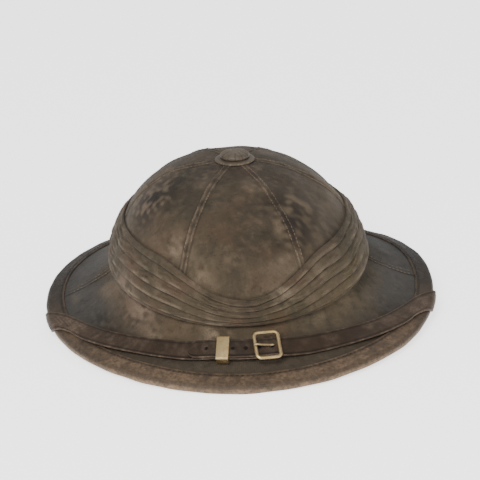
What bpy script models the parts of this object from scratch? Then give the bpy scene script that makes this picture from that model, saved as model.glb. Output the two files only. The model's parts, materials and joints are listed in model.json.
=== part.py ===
"""A worn sola pith helmet with a wound cloth band, a dark leather binding and a chin strap stowed over the front brim.

Metres, +Z up. The front of the helmet faces -Y and its width runs along X. It stands on the front and the back of
its brim. The origin is at the bottom centre of its box.
"""

import bmesh
import bpy
from math import acos, asin, atan2, cos, degrees, hypot, pi, radians, sin
from mathutils import Matrix, Vector

# The head, and how far the outer cloth of the crown's foot stands off it
HEAD_WIDTH = 0.160
HEAD_LENGTH = 0.202
CROWN_ROOM_SIDE = 0.013
CROWN_ROOM_FRONT = 0.018
CROWN_ROOM_BACK = 0.019

# Brim and crown, measured on the outer cloth of the shell
BRIM_SIDE = 0.051  # foot of the crown to the brim's edge
BRIM_FRONT = 0.041
BRIM_BACK = 0.052
DOME_TOP = 0.1125  # height of the dome over the lowest part of the brim's edge
DOME_FULLNESS = 2.15  # 2 is an ellipse, and more is a fuller dome
SEAM_FRONT = 0.027  # height where the crown turns into the brim
SEAM_SIDE = 0.032
SEAM_BACK = 0.029
EDGE_SIDE = 0.007  # the brim's edge is this much higher at the sides than in front and behind
BRIM_HOLLOW = 0.5  # 0 is a straight brim, 1 is one that ends level
FILLET = 0.0065  # reach of the curve between crown and brim
SHELL_THICKNESS = 0.0045
CLEARANCE = 0.0003  # between pieces that touch

# Wound cloth band
BAND_FOOT = 0.0010  # lower edge over the seam
BAND_HEIGHT = 0.038
BAND_FRONT_DIP = 0.019  # how far its upper edge dips where the folds cross in front
BAND_DIP_ANGLE = 46.0
BAND_CORE_TOP = 0.0020  # cloth under the folds, at the upper edge and at the lower one
BAND_CORE_FOOT = 0.0042
BAND_FOLD = 0.0024  # height of a fold over the core
BAND_FOLDS = 5
BAND_LEAN = 1.5  # folds climbed between the front and the back

# Leather binding of the edge
BINDING_WIDTH = 0.011
BINDING_WALL = 0.0013

# Ventilator on the dome
VENT_HOLE_RADIUS = 0.008
MERIDIAN_START = 0.0048  # the shell's rows start here, inside the hole
VENT_SLEEVE_WALL = 0.0015
VENT_CUT_DOWN = 0.02  # how far the hole's cutter reaches below and above the dome's top
VENT_CUT_UP = 0.01
VENT_FLANGE_RADIUS = 0.0150
VENT_FLANGE_WALL = 0.0014
VENT_CAP_RADIUS = 0.0110
VENT_CAP_HEIGHT = 0.0052
VENT_CAP_LIP = 0.0016
VENT_DEPTH = 0.0016  # how far the sleeve shows inside the dome
VENT_RIM_SHARE = 0.6  # the flange's rim, as a share of its wall

# Sweatband and the cork blocks that carry it
SWEATBAND_WALL = 0.0018
SWEATBAND_FOOT = 0.026
SWEATBAND_HEIGHT = 0.030
SPACER_FOOT = 0.033
SPACER_HEIGHT = 0.018
SPACER_SEAT = 0.0022  # from the sweatband's inner face to the blocks

# Chin strap
STRAP_WIDTH = 0.016
STRAP_WALL = 0.0018
TAIL_WIDTH = 0.0154
STRAP_FRONT_LIFT = 0.0028  # room under the strap for the keeper's lower arm
STRAP_LIFT_ANGLE = 24.0
STRAP_RAMP = 0.008  # length of the strap's climb onto the binding
STRAP_RAMP_LEAD = 0.004  # the climb ends this far before the binding
TAIL_START = 12.0  # azimuths in degrees, positive to the wearer's left
TAIL_END = -21.0
BUCKLE_AZIMUTH = 7.0
BUCKLE_LENGTH = 0.017
BUCKLE_WIRE_RADIUS = 0.0013
BUCKLE_CORNER = 0.003
BUCKLE_SIDE_ROOM = 0.001  # from the strap's edge to the side bars
TONGUE_RADIUS = 0.0008
STRAP_EASE = 0.0008  # room for the strap's own curve under straight metal
KEEPER_AZIMUTH = -8.5
KEEPER_LENGTH = 0.009
KEEPER_WALL = 0.0008
KEEPER_SIDE_ROOM = 0.0008
KEEPER_CORNER = 0.0014
KEEPER_INNER_CORNER = 0.0005
SCREW_RADIUS = 0.0015
SCREW_HEAD_RADIUS = 0.0034
SCREW_HEAD_HEIGHT = 0.0012
SCREW_GRIP = 0.003  # how far the screw goes into the shell
SCREW_INSET = 0.007  # screw to the end of the strap
SCREW_SEAT = 0.0004  # from the strap to the screw's head
SCREW_FLAT_SHARE = 0.7  # flat top of the head, as a share of its radius
SCREW_RIM_SHARE = 0.4  # height of the head's upright rim, as a share of its height
SCREW_HOLE_RUN = 0.006  # how far the hole's cutter stands out

# How finely curved pieces are cut
SEGMENTS = 52
STEP = 2 * pi / SEGMENTS
TURNED_STEPS = 24
STRAP_LANES = 4
STRAP_STEP = 0.006
STRAP_TURN_STEP = 0.0026  # round the brim's edge, along the slanting strap
STRAP_TURN_MARGIN = 0.007
STRAP_TWIST_START = 0.004  # distance from the edge's turn where the strap's rows stop running with the edge
STRAP_TWIST_END = 0.013

# The strap's way over the brim: azimuth in degrees, and how far it has run past the edge as a share of the brim's
# width there, negative on top and positive underneath and up the inner wall
STRAP_ROUTE = (
    # azimuth, past_edge
    (0.0, -0.715),
    (15.0, -0.685),
    (30.0, -0.592),
    (45.0, -0.449),
    (59.0, -0.285),
    (69.0, -0.133),
    (75.5, 0.05),
    (81.5, 0.28),
    (87.0, 0.60),
    (91.0, 1.00),
    (93.0, 1.40),
    (94.0, 1.85),
)

# Rows of the shell from the ventilator to the edge, as positions on its meridian
SHELL_ROWS = (0, 0.16, 0.33, 0.49, 0.64, 0.78, 0.9, 1.0, 1.5, 2.0, 2.25, 2.5, 2.75, 3.0)

# Sizes that follow from those above
CROWN_SIDE = HEAD_WIDTH / 2 + CROWN_ROOM_SIDE  # crown axis to the foot of the crown
CROWN_FRONT = HEAD_LENGTH / 2 + CROWN_ROOM_FRONT
CROWN_BACK = HEAD_LENGTH / 2 + CROWN_ROOM_BACK
EDGE_FRONT = CROWN_FRONT + BRIM_FRONT  # crown axis to the brim's edge
EDGE_BACK = CROWN_BACK + BRIM_BACK
AXIS_Y = (EDGE_FRONT - EDGE_BACK) / 2  # the crown's axis, with the box centred on the origin
BINDING_LIFT = CLEARANCE + BINDING_WALL + CLEARANCE
CHORD = CROWN_BACK * (1 - cos(STEP / 2))  # how far the shell's flats stand inside its true curve
EDGE_ROUND = SHELL_THICKNESS / 2 + BINDING_LIFT  # radius of the strap's turn round the edge


def by_azimuth(azimuth, front, side, back):
    """A size that changes smoothly from the front by the sides to the back."""
    facing = cos(azimuth)
    return side + ((front if facing > 0 else back) - side) * facing * facing


def crown_reach(azimuth):
    return CROWN_SIDE, CROWN_FRONT if cos(azimuth) > 0 else CROWN_BACK


def edge_reach(azimuth):
    return CROWN_SIDE + BRIM_SIDE, EDGE_FRONT if cos(azimuth) > 0 else EDGE_BACK


def on_plan(azimuth, reach, height):
    """A point on the oval with these half axes round the crown's axis."""
    return Vector((reach[0] * sin(azimuth), AXIS_Y - reach[1] * cos(azimuth), height))


def seam_height(azimuth):
    return by_azimuth(azimuth, SEAM_FRONT, SEAM_SIDE, SEAM_BACK)


def dome_point(azimuth, slope_angle):
    """slope_angle is 0 at the top of the dome and a right angle at its foot."""
    seam = seam_height(azimuth)
    reach = [half * sin(slope_angle) for half in crown_reach(azimuth)]
    rise = max(cos(slope_angle), 0.0) ** (2 / DOME_FULLNESS)
    return on_plan(azimuth, reach, seam + (DOME_TOP - seam) * rise)


def brim_point(azimuth, share):
    """share is 0 at the foot of the crown and 1 at the edge. The brim falls fast at first and then levels out."""
    seam = seam_height(azimuth)
    fall = seam - by_azimuth(azimuth, 0.0, EDGE_SIDE, 0.0)
    fallen = (1 - BRIM_HOLLOW) * share + BRIM_HOLLOW * (1 - (1 - share) ** 2)
    reach = [a + (b - a) * share for a, b in zip(crown_reach(azimuth), edge_reach(azimuth))]
    return on_plan(azimuth, reach, seam - fall * fallen)


def outer(azimuth, position):
    """The shell's outer surface: position runs 0 to 1 down the dome, to 2 round the fillet and to 3 across the brim."""
    plan = hypot(*[c * f for c, f in zip(crown_reach(azimuth), (sin(azimuth), cos(azimuth)))])
    first = asin(MERIDIAN_START / plan)  # the hole itself is cut afterwards
    rise = DOME_TOP - seam_height(azimuth)
    last = acos((FILLET / rise) ** (DOME_FULLNESS / 2))
    reach = edge_reach(azimuth)[1] - crown_reach(azimuth)[1]
    start = FILLET / hypot(BRIM_SIDE * sin(azimuth), reach * cos(azimuth))
    if position <= 1:
        return dome_point(azimuth, first + (last - first) * position)
    if position >= 2:
        return brim_point(azimuth, start + (1 - start) * (position - 2))
    top = dome_point(azimuth, last)
    foot = brim_point(azimuth, start)
    fine = 0.01
    down = (top - dome_point(azimuth, last - fine)).normalized()
    out = (brim_point(azimuth, start + fine) - foot).normalized()
    turn = (foot - top).length * 1.1
    u = position - 1
    return (
        top * (2 * u**3 - 3 * u**2 + 1)
        + down * turn * (u**3 - 2 * u**2 + u)
        + foot * (3 * u**2 - 2 * u**3)
        + out * turn * (u**3 - u**2)
    )


def tangents(azimuth, position):
    """Down the meridian, and round the shell."""
    fine = 1e-3
    low = max(position - fine, 0.0)
    high = min(position + fine, 3.0)
    down = outer(azimuth, high) - outer(azimuth, low)
    around = outer(azimuth + fine, position) - outer(azimuth - fine, position)
    return down.normalized(), around.normalized()


def normal(azimuth, position):
    down, around = tangents(azimuth, position)
    return down.cross(around).normalized()


def lifted(azimuth, position, lift):
    """A point off the shell's outer surface. A negative lift reaches through the shell."""
    return outer(azimuth, position) + normal(azimuth, position) * lift


def position_at(azimuth, height, lift=0.0):
    """Where the surface at this lift has this height."""
    low, high = 0.0, 3.0
    for _ in range(30):
        middle = (low + high) / 2
        if lifted(azimuth, middle, lift).z > height:
            low = middle
        else:
            high = middle
    return (low + high) / 2


def position_from_edge(azimuth, distance):
    """Where the meridian is this far from the brim's edge."""
    pieces = 60
    last = outer(azimuth, 3.0)
    walked = 0.0
    for k in range(1, pieces + 1):
        position = 3.0 - 2.4 * k / pieces
        point = outer(azimuth, position)
        step = (point - last).length
        if walked + step >= distance:
            return position + 2.4 / pieces * (1 - (distance - walked) / step)
        walked += step
        last = point
    return 0.6


def mesh_object(name, rows, around, ring=False):
    """A surface lofted through rows of points. around joins each row's ends, and ring joins the last row to the first."""
    shape = bmesh.new()
    made = [[shape.verts.new(point) for point in row] for row in rows]
    if ring:
        made.append(made[0])
    for upper, lower in zip(made, made[1:]):
        count = len(upper)
        for j in range(count if around else count - 1):
            k = (j + 1) % count
            shape.faces.new((upper[j], lower[j], lower[k], upper[k]))
    mesh = bpy.data.meshes.new(name)
    shape.to_mesh(mesh)
    shape.free()
    return place(bpy.data.objects.new(name, mesh))


def place(thing):
    helmet_parts.objects.link(thing)
    thing.parent = helmet
    return thing


def thicken(thing, wall, outwards):
    solidify = thing.modifiers.new("wall", "SOLIDIFY")
    solidify.thickness = wall
    solidify.offset = 1 if outwards else -1
    solidify.use_even_offset = True
    solidify.use_quality_normals = True


def cut(thing, cutter):
    boolean = thing.modifiers.new("cut", "BOOLEAN")
    boolean.operation = "DIFFERENCE"
    boolean.solver = "EXACT"
    boolean.object = cutter


def smooth(thing, angle=40):
    thing.data.shade_smooth()
    thing.data.set_sharp_from_angle(angle=radians(angle))


def finish(thing, colour, roughness, metallic=0.0):
    material = bpy.data.materials.new(thing.name)
    material.use_nodes = True
    shader = material.node_tree.nodes["Principled BSDF"]
    shader.inputs["Base Color"].default_value = (*colour, 1)
    shader.inputs["Roughness"].default_value = roughness
    shader.inputs["Metallic"].default_value = metallic
    thing.data.materials.append(material)


CLOTH = (0.105, 0.078, 0.052)
BAND_CLOTH = (0.125, 0.095, 0.066)
DARK_LEATHER = (0.030, 0.024, 0.020)
STRAP_LEATHER = (0.045, 0.026, 0.016)
TAN_LEATHER = (0.20, 0.11, 0.055)
CORK = (0.30, 0.19, 0.10)
BRASS = (0.45, 0.34, 0.18)

AZIMUTHS = [k * STEP for k in range(SEGMENTS)]


def shell():
    rows = [[outer(azimuth, position) for azimuth in AZIMUTHS] for position in SHELL_ROWS]
    body = mesh_object("shell", rows, around=True)
    thicken(body, SHELL_THICKNESS, outwards=False)
    above_dome = Matrix.Translation((0, AXIS_Y, DOME_TOP))
    cut(body, cylinder("vent_hole", VENT_HOLE_RADIUS, -VENT_CUT_DOWN, VENT_CUT_UP, above_dome, TURNED_STEPS, False))
    for side in (1, -1):
        cut(body, screw_hole(side))
    smooth(body)
    finish(body, CLOTH, 0.85)


def band_top(azimuth):
    """The upper edge of the wound band, which dips where its folds cross in front."""
    off_front = abs(degrees(atan2(sin(azimuth), cos(azimuth))))
    dip = cos(pi / 2 * min(off_front / BAND_DIP_ANGLE, 1)) ** 2
    return seam_height(azimuth) + BAND_FOOT + BAND_HEIGHT - BAND_FRONT_DIP * dip


def band_thickness(azimuth, share):
    """Folds that climb from the front to the back on each side, so that they meet in a V in front."""
    off_front = abs(atan2(sin(azimuth), cos(azimuth))) / pi
    phase = BAND_FOLDS * share - BAND_LEAN * off_front
    ridge = abs(sin(pi * phase)) ** 0.7
    rim = min(share, 1 - share) * BAND_FOLDS
    rounding = min(1.0, 0.45 + rim) ** 0.5
    core = BAND_CORE_FOOT + (BAND_CORE_TOP - BAND_CORE_FOOT) * share
    return core * rounding + BAND_FOLD * ridge * min(1.0, 0.35 + rim)


def wound_band():
    """Its inner face lies on the shell, and its outer face carries the folds."""
    points_per_fold = 3
    outer_rows = BAND_FOLDS * points_per_fold
    inner_rows = 4
    rows = []
    sections = [(k / outer_rows, True) for k in range(outer_rows, -1, -1)]
    sections += [(k / inner_rows, False) for k in range(inner_rows + 1)]
    for share, outside in sections:
        row = []
        for azimuth in AZIMUTHS:
            foot = seam_height(azimuth) + BAND_FOOT
            position = position_at(azimuth, foot + (band_top(azimuth) - foot) * share)
            lift = CLEARANCE + (band_thickness(azimuth, share) if outside else 0)
            row.append(lifted(azimuth, position, lift))
        rows.append(row)
    band = mesh_object("puggaree", rows, around=True, ring=True)
    smooth(band)
    finish(band, BAND_CLOTH, 0.9)


def binding_point(azimuth, past_edge, lift):
    """A point round the brim's edge. past_edge is negative on top, and positive beyond the edge and underneath."""
    round_radius = SHELL_THICKNESS / 2 + lift
    half_turn = pi * round_radius
    if past_edge <= 0:
        return lifted(azimuth, position_from_edge(azimuth, -past_edge), lift)
    if past_edge >= half_turn:
        position = position_from_edge(azimuth, past_edge - half_turn)
        return lifted(azimuth, position, -(SHELL_THICKNESS + lift))
    angle = past_edge / round_radius
    out = tangents(azimuth, 3.0)[0]
    middle = lifted(azimuth, 3.0, -SHELL_THICKNESS / 2)
    return middle + (normal(azimuth, 3.0) * cos(angle) + out * sin(angle)) * round_radius


def binding():
    """A leather strip folded round the edge of the brim."""
    half_turn = pi * (SHELL_THICKNESS / 2 + CLEARANCE)
    legs = (-BINDING_WIDTH, 0.0)
    turn = (half_turn * 0.25, half_turn * 0.5, half_turn * 0.75)
    under = (half_turn, half_turn + BINDING_WIDTH)
    rows = [[binding_point(a, past_edge, CLEARANCE) for a in AZIMUTHS] for past_edge in legs + turn + under]
    strip = mesh_object("brim_binding", rows, around=True)
    thicken(strip, BINDING_WALL, outwards=True)
    smooth(strip)
    finish(strip, DARK_LEATHER, 0.5)


def vent_floor(radius):
    """The dome's height at this distance from its axis, where it is highest."""
    slope_angle = asin(radius / CROWN_BACK)
    return dome_point(pi, slope_angle).z


def turned(name, profile, colour, roughness, metallic):
    """A solid of revolution about the crown's axis. The profile runs down its outer side and back up the inner one."""
    shape = bmesh.new()
    points = [shape.verts.new((radius, 0, height)) for radius, height in profile]
    closed = profile[0][0] > 0
    for start, end in zip(points, points[1:] + points[:1] if closed else points[1:]):
        shape.edges.new((start, end))
    mesh = bpy.data.meshes.new(name)
    shape.to_mesh(mesh)
    shape.free()
    solid = place(bpy.data.objects.new(name, mesh))
    solid.location.y = AXIS_Y
    screw = solid.modifiers.new("turn", "SCREW")
    screw.steps = screw.render_steps = TURNED_STEPS
    screw.use_merge_vertices = True
    screw.merge_threshold = 1e-5
    screw.use_normal_calculate = True
    finish(solid, colour, roughness, metallic)
    return solid


def ventilator():
    """A flanged sleeve in the top of the dome, and a cap whose stem stands in it."""
    sleeve_outer = VENT_HOLE_RADIUS - CLEARANCE
    sleeve_inner = sleeve_outer - VENT_SLEEVE_WALL
    bottom = DOME_TOP - SHELL_THICKNESS - VENT_DEPTH
    seats = [VENT_FLANGE_RADIUS - (VENT_FLANGE_RADIUS - sleeve_outer) * k / 3 for k in range(4)]
    flange_top = DOME_TOP + CLEARANCE + VENT_FLANGE_WALL
    rim = vent_floor(VENT_FLANGE_RADIUS) + CLEARANCE
    profile = [(sleeve_inner, flange_top), (VENT_CAP_RADIUS, flange_top)]
    profile += [(VENT_FLANGE_RADIUS, rim + VENT_FLANGE_WALL * VENT_RIM_SHARE)]
    profile += [(radius, vent_floor(radius) + CLEARANCE) for radius in seats]
    profile += [(sleeve_outer, bottom), (sleeve_inner, bottom)]
    turned("vent_collar", profile, CLOTH, 0.6, 0.0)

    stem = sleeve_inner - CLEARANCE
    seat = flange_top + CLEARANCE
    shoulder = seat + VENT_CAP_LIP
    crown = VENT_CAP_HEIGHT - VENT_CAP_LIP
    bows = 6
    profile = []
    for k in range(bows + 1):
        angle = pi / 2 * k / bows
        profile.append((VENT_CAP_RADIUS * sin(angle), shoulder + crown * cos(angle)))
    profile += [(VENT_CAP_RADIUS - CLEARANCE, seat), (stem, seat), (stem, bottom), (0, bottom)]
    turned("vent_cap", profile, CLOTH, 0.7, 0.0)


def sweatband():
    reach = (HEAD_WIDTH / 2, HEAD_LENGTH / 2)
    heights = (SWEATBAND_FOOT + SWEATBAND_HEIGHT, SWEATBAND_FOOT)
    rows = [[on_plan(azimuth, reach, height) for azimuth in AZIMUTHS] for height in heights]
    strip = mesh_object("sweatband", rows, around=True)
    thicken(strip, SWEATBAND_WALL, outwards=True)
    smooth(strip)
    finish(strip, TAN_LEATHER, 0.55)


def spacers():
    """Cork blocks between the sweatband and the shell, four on each side."""
    reach = (HEAD_WIDTH / 2 + SPACER_SEAT, HEAD_LENGTH / 2 + SPACER_SEAT)
    heights = (SPACER_FOOT + SPACER_HEIGHT, SPACER_FOOT + SPACER_HEIGHT / 2, SPACER_FOOT)
    wall = -(SHELL_THICKNESS + CLEARANCE + 2 * CHORD)
    for number in range(8):
        middle = STEP * (SEGMENTS / 16 + SEGMENTS / 8 * number)
        columns = [middle + STEP * k for k in (-1, 0, 1)]
        near = [[on_plan(a, reach, z) for a in columns] for z in heights]
        far = [[lifted(a, position_at(a, z, wall), wall) for a in columns] for z in heights]
        loops = [far_row + near_row[::-1] for far_row, near_row in zip(far, near)]
        block = mesh_object(f"cork_spacer_{number + 1}", loops, around=True)
        close_ends(block)
        finish(block, CORK, 0.9)


def close_ends(thing):
    shape = bmesh.new()
    shape.from_mesh(thing.data)
    bmesh.ops.holes_fill(shape, edges=shape.edges)
    bmesh.ops.recalc_face_normals(shape, faces=shape.faces)
    shape.to_mesh(thing.data)
    shape.free()


def strap_lift(azimuth, past_edge):
    """How far the strap's under side is off the shell: over the binding's wall, and over the keeper's arm in front."""
    inset = -past_edge if past_edge < 0 else max(past_edge - pi * EDGE_ROUND, 0.0)
    under = CHORD if past_edge > 0 else 0.0
    over_binding = min(max((BINDING_WIDTH + STRAP_RAMP_LEAD + STRAP_RAMP - inset) / STRAP_RAMP, 0.0), 1.0)
    off_front = min(abs(degrees(azimuth)) / STRAP_LIFT_ANGLE, 1.0)
    in_front = min(2 * cos(pi / 2 * off_front) ** 2, 1.0)
    return CLEARANCE + under + (BINDING_LIFT - CLEARANCE - under) * over_binding + STRAP_FRONT_LIFT * in_front


def strap_point(azimuth, past_edge, extra=0.0):
    """The strap's under side, or a point above it. past_edge is a length across the brim's edge."""
    half_turn = pi * EDGE_ROUND
    lift = strap_lift(azimuth, past_edge) + extra
    if past_edge <= 0:
        return lifted(azimuth, position_from_edge(azimuth, -past_edge), lift)
    if past_edge >= half_turn:
        return lifted(azimuth, position_from_edge(azimuth, past_edge - half_turn), -(SHELL_THICKNESS + lift))
    angle = past_edge / EDGE_ROUND
    out = tangents(azimuth, 3.0)[0]
    middle = lifted(azimuth, 3.0, -SHELL_THICKNESS / 2)
    away = normal(azimuth, 3.0) * cos(angle) + out * sin(angle)
    return middle + away * (EDGE_ROUND + lift - BINDING_LIFT)


def strap_route(share):
    """The middle line of one half of the strap: a smooth curve through STRAP_ROUTE, with share from 0 to 1."""
    last = len(STRAP_ROUTE) - 1
    place_on = min(max(share, 0.0), 1.0) * last
    k = min(int(place_on), last - 1)
    u = place_on - k
    before = STRAP_ROUTE[k - 1] if k > 0 else (-STRAP_ROUTE[1][0], STRAP_ROUTE[1][1])
    start, end = STRAP_ROUTE[k], STRAP_ROUTE[k + 1]
    after = STRAP_ROUTE[min(k + 2, last)]
    found = []
    for a, b, c, d in zip(before, start, end, after):
        found.append(0.5 * (2 * b + (c - a) * u + (2 * a - 5 * b + 4 * c - d) * u**2 + (3 * b - 3 * c + d - a) * u**3))
    azimuth = radians(found[0])
    return azimuth, found[1] * by_azimuth(azimuth, BRIM_FRONT, BRIM_SIDE, BRIM_BACK)


def route_share(azimuth):
    """How far along its half the strap passes this azimuth, near the front."""
    low, high = 0.0, 0.8
    for _ in range(30):
        middle = (low + high) / 2
        if strap_route(middle)[0] < abs(azimuth):
            low = middle
        else:
            high = middle
    return low


def strap_line(at, side_offset, extra=0.0):
    """A point beside the strap's middle line. at runs from -1 to 1, and side_offset is positive towards the crown.
    Round the edge a row of such points runs with the edge, and elsewhere it runs straight across the strap."""
    side = 1 if at >= 0 else -1
    share = abs(at)
    fine = 1e-3
    azimuth, past_edge = strap_route(share)
    ahead = strap_route(min(share + fine, 1.0))
    behind = strap_route(max(share - fine, 0.0))
    round_scale = (strap_point(azimuth + fine, past_edge) - strap_point(azimuth - fine, past_edge)).length / (2 * fine)
    along = Vector(((ahead[0] - behind[0]) * round_scale, ahead[1] - behind[1])).normalized()
    off_turn = max(-past_edge, past_edge - pi * EDGE_ROUND, 0.0)
    with_edge = min(max(STRAP_TWIST_END - off_turn, 0.0) / (STRAP_TWIST_END - STRAP_TWIST_START), 1.0)
    across = Vector((along.y, -along.x)).lerp(Vector((1 / max(along.y, 0.3), 0.0)), with_edge)
    azimuth += side_offset * across.x / round_scale
    past_edge += side_offset * across.y
    return strap_point(side * azimuth, past_edge, extra)


def strap_stations():
    """Shares along one half of the strap: far apart on the brim, and close together round its edge and inside."""
    pieces = 600
    stations = [0.0]
    last = strap_line(0.0, 0.0)
    for k in range(1, pieces):
        share = k / pieces
        past_edge = strap_route(share)[1]
        off_edge = abs(past_edge - pi * EDGE_ROUND / 2) - pi * EDGE_ROUND / 2
        off_corner = abs(past_edge - pi * EDGE_ROUND - BRIM_SIDE)
        spacing = STRAP_TURN_STEP if min(off_edge, off_corner) < STRAP_TURN_MARGIN else STRAP_STEP
        point = strap_line(share, 0.0)
        if (point - last).length >= spacing:
            stations.append(share)
            last = point
    return stations[:-1] + [1.0]


def ribbon(name, stations, width, extra, wall):
    """A leather strip along the strap's line, lofted through stations and thickened away from the shell."""
    offsets = [width * (0.5 - k / STRAP_LANES) for k in range(STRAP_LANES + 1)]
    rows = [[strap_line(at, offset, extra) for at in stations] for offset in offsets]
    strip = mesh_object(name, rows, around=False)
    thicken(strip, wall, outwards=True)
    smooth(strip)
    return strip


def strap_frame(azimuth, extra):
    """Place and axes on the strap: along it towards +X, across it towards the crown, and off it."""
    at = route_share(azimuth) * (1 if azimuth >= 0 else -1)
    fine = 0.01
    along = (strap_line(at + fine, 0, extra) - strap_line(at - fine, 0, extra)).normalized()
    across = strap_line(at, STRAP_WIDTH / 4, extra) - strap_line(at, -STRAP_WIDTH / 4, extra)
    off = along.cross(across).normalized()
    across = off.cross(along)
    turned_to = Matrix((along, across, off)).transposed().to_4x4()
    return Matrix.Translation(strap_line(at, 0, extra)) @ turned_to


def chin_strap():
    half = strap_stations()
    stations = [-share for share in half[:0:-1]] + half
    strap = ribbon("chin_strap", stations, STRAP_WIDTH, 0.0, STRAP_WALL)
    for side in (1, -1):
        cut(strap, screw_hole(side))
    finish(strap, STRAP_LEATHER, 0.45)

    start = route_share(radians(TAIL_START))
    end = -route_share(radians(TAIL_END))
    count = 12
    stations = [end + (start - end) * k / count for k in range(count + 1)]
    tail = ribbon("strap_tail", stations, TAIL_WIDTH, STRAP_WALL + CLEARANCE, STRAP_WALL)
    finish(tail, STRAP_LEATHER, 0.45)


def wire(name, points, radius, cyclic, frame):
    data = bpy.data.curves.new(name, "CURVE")
    data.dimensions = "3D"
    data.bevel_depth = radius
    data.bevel_resolution = 2
    data.use_fill_caps = True
    spline = data.splines.new("POLY")
    spline.points.add(len(points) - 1)
    for slot, point in zip(spline.points, points):
        slot.co = (*point, 1)
    spline.use_cyclic_u = cyclic
    thing = place(bpy.data.objects.new(name, data))
    thing.matrix_local = frame
    finish(thing, BRASS, 0.35, 1.0)


def rounded_oblong(half_length, half_width, corner, per_corner):
    """Corner points of an oblong with round corners, in order round it."""
    points = []
    for quarter, (sx, sy) in enumerate(((1, 1), (-1, 1), (-1, -1), (1, -1))):
        for k in range(per_corner + 1):
            angle = pi / 2 * (quarter + k / per_corner)
            x = sx * (half_length - corner) + corner * cos(angle)
            points.append((x, sy * (half_width - corner) + corner * sin(angle)))
    return points


def buckle():
    """A wire frame that lies on the two layers of strap, and a tongue that reaches over it from bar to bar."""
    layers = 2 * STRAP_WALL + CLEARANCE
    over = layers / 2 + CLEARANCE + STRAP_EASE + BUCKLE_WIRE_RADIUS
    half_width = STRAP_WIDTH / 2 + BUCKLE_SIDE_ROOM + BUCKLE_WIRE_RADIUS
    reach = BUCKLE_LENGTH / 2
    frame = strap_frame(radians(BUCKLE_AZIMUTH), layers / 2)
    points = [(x, y, over) for x, y in rounded_oblong(reach, half_width, BUCKLE_CORNER, 4)]
    wire("buckle_frame", points, BUCKLE_WIRE_RADIUS, True, frame)

    low = layers / 2 + CLEARANCE + STRAP_EASE + TONGUE_RADIUS
    high = over + BUCKLE_WIRE_RADIUS + CLEARANCE + TONGUE_RADIUS
    start = reach - BUCKLE_WIRE_RADIUS - CLEARANCE - 2 * TONGUE_RADIUS
    points = [(start, 0, low), (start * 0.4, 0, low), (-reach * 0.45, 0, (low + high) / 2)]
    points += [(-reach + BUCKLE_WIRE_RADIUS, 0, high), (-reach - BUCKLE_WIRE_RADIUS, 0, high)]
    wire("buckle_tongue", points, TONGUE_RADIUS, False, frame)


def keeper():
    """A flat brass loop round the strap and its tail."""
    layers = 2 * STRAP_WALL + CLEARANCE
    frame = strap_frame(radians(KEEPER_AZIMUTH), layers / 2)
    inner = (STRAP_WIDTH / 2 + KEEPER_SIDE_ROOM, layers / 2 + CLEARANCE + STRAP_EASE)
    data = bpy.data.curves.new("strap_keeper", "CURVE")
    data.dimensions = "2D"
    data.fill_mode = "BOTH"
    data.extrude = KEEPER_LENGTH / 2
    for grow, corner in ((KEEPER_WALL, KEEPER_CORNER), (0.0, KEEPER_INNER_CORNER)):
        outline = rounded_oblong(inner[0] + grow, inner[1] + grow, corner, 3)
        spline = data.splines.new("POLY")
        spline.points.add(len(outline) - 1)
        for slot, (x, y) in zip(spline.points, outline):
            slot.co = (x, y, 0, 1)
        spline.use_cyclic_u = True
    loop = place(bpy.data.objects.new("strap_keeper", data))
    across_strap = Matrix(((0, 0, 1, 0), (1, 0, 0, 0), (0, 1, 0, 0), (0, 0, 0, 1)))
    loop.matrix_local = frame @ across_strap
    finish(loop, BRASS, 0.35, 1.0)


def screw_frame(side):
    """Where a screw holds the end of the strap to the inner wall: its axis points into the shell."""
    end_azimuth, end_past_edge = strap_route(1.0)
    azimuth = side * end_azimuth
    past_edge = end_past_edge - SCREW_INSET
    under = strap_point(azimuth, past_edge)
    off = strap_point(azimuth, past_edge, STRAP_WALL) - under
    return Matrix.Translation(under) @ (-off).to_track_quat("Z", "Y").to_matrix().to_4x4()


def cylinder(name, radius, low, high, frame, sides, collection_of_parts=True):
    bpy.ops.mesh.primitive_cylinder_add(vertices=sides, radius=radius, depth=high - low)
    thing = bpy.context.active_object
    thing.name = thing.data.name = name
    thing.data.transform(Matrix.Translation((0, 0, (low + high) / 2)))
    for collection in thing.users_collection:
        collection.objects.unlink(thing)
    if collection_of_parts:
        place(thing)
    else:
        cutters.objects.link(thing)
        thing.parent = helmet
        thing.hide_render = True
        thing.display_type = "WIRE"
    thing.matrix_local = frame
    return thing


def screw_hole(side):
    """One cutter for each side, used by the shell and by the strap."""
    name = f"screw_hole_{'left' if side > 0 else 'right'}"
    made = bpy.data.objects.get(name)
    grip = strap_lift(pi / 2, strap_route(1.0)[1]) + SCREW_GRIP
    return made or cylinder(name, SCREW_RADIUS + CLEARANCE, -SCREW_HOLE_RUN, grip + CLEARANCE, screw_frame(side), 16, False)


def screws():
    """A plain headed screw through each end of the strap into the shell."""
    grip = strap_lift(pi / 2, strap_route(1.0)[1]) + SCREW_GRIP
    head = -(STRAP_WALL + SCREW_SEAT)
    steps = (
        (0, head - SCREW_HEAD_HEIGHT),
        (SCREW_HEAD_RADIUS * SCREW_FLAT_SHARE, head - SCREW_HEAD_HEIGHT),
        (SCREW_HEAD_RADIUS, head - SCREW_HEAD_HEIGHT * SCREW_RIM_SHARE),
        (SCREW_HEAD_RADIUS, head),
        (SCREW_RADIUS, head),
        (SCREW_RADIUS, grip),
        (0, grip),
    )
    for side, word in ((1, "left"), (-1, "right")):
        screw = turned(f"strap_screw_{word}", steps[::-1], BRASS, 0.4, 1.0)
        screw.modifiers["turn"].steps = screw.modifiers["turn"].render_steps = 16
        screw.matrix_local = screw_frame(side)


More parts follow.
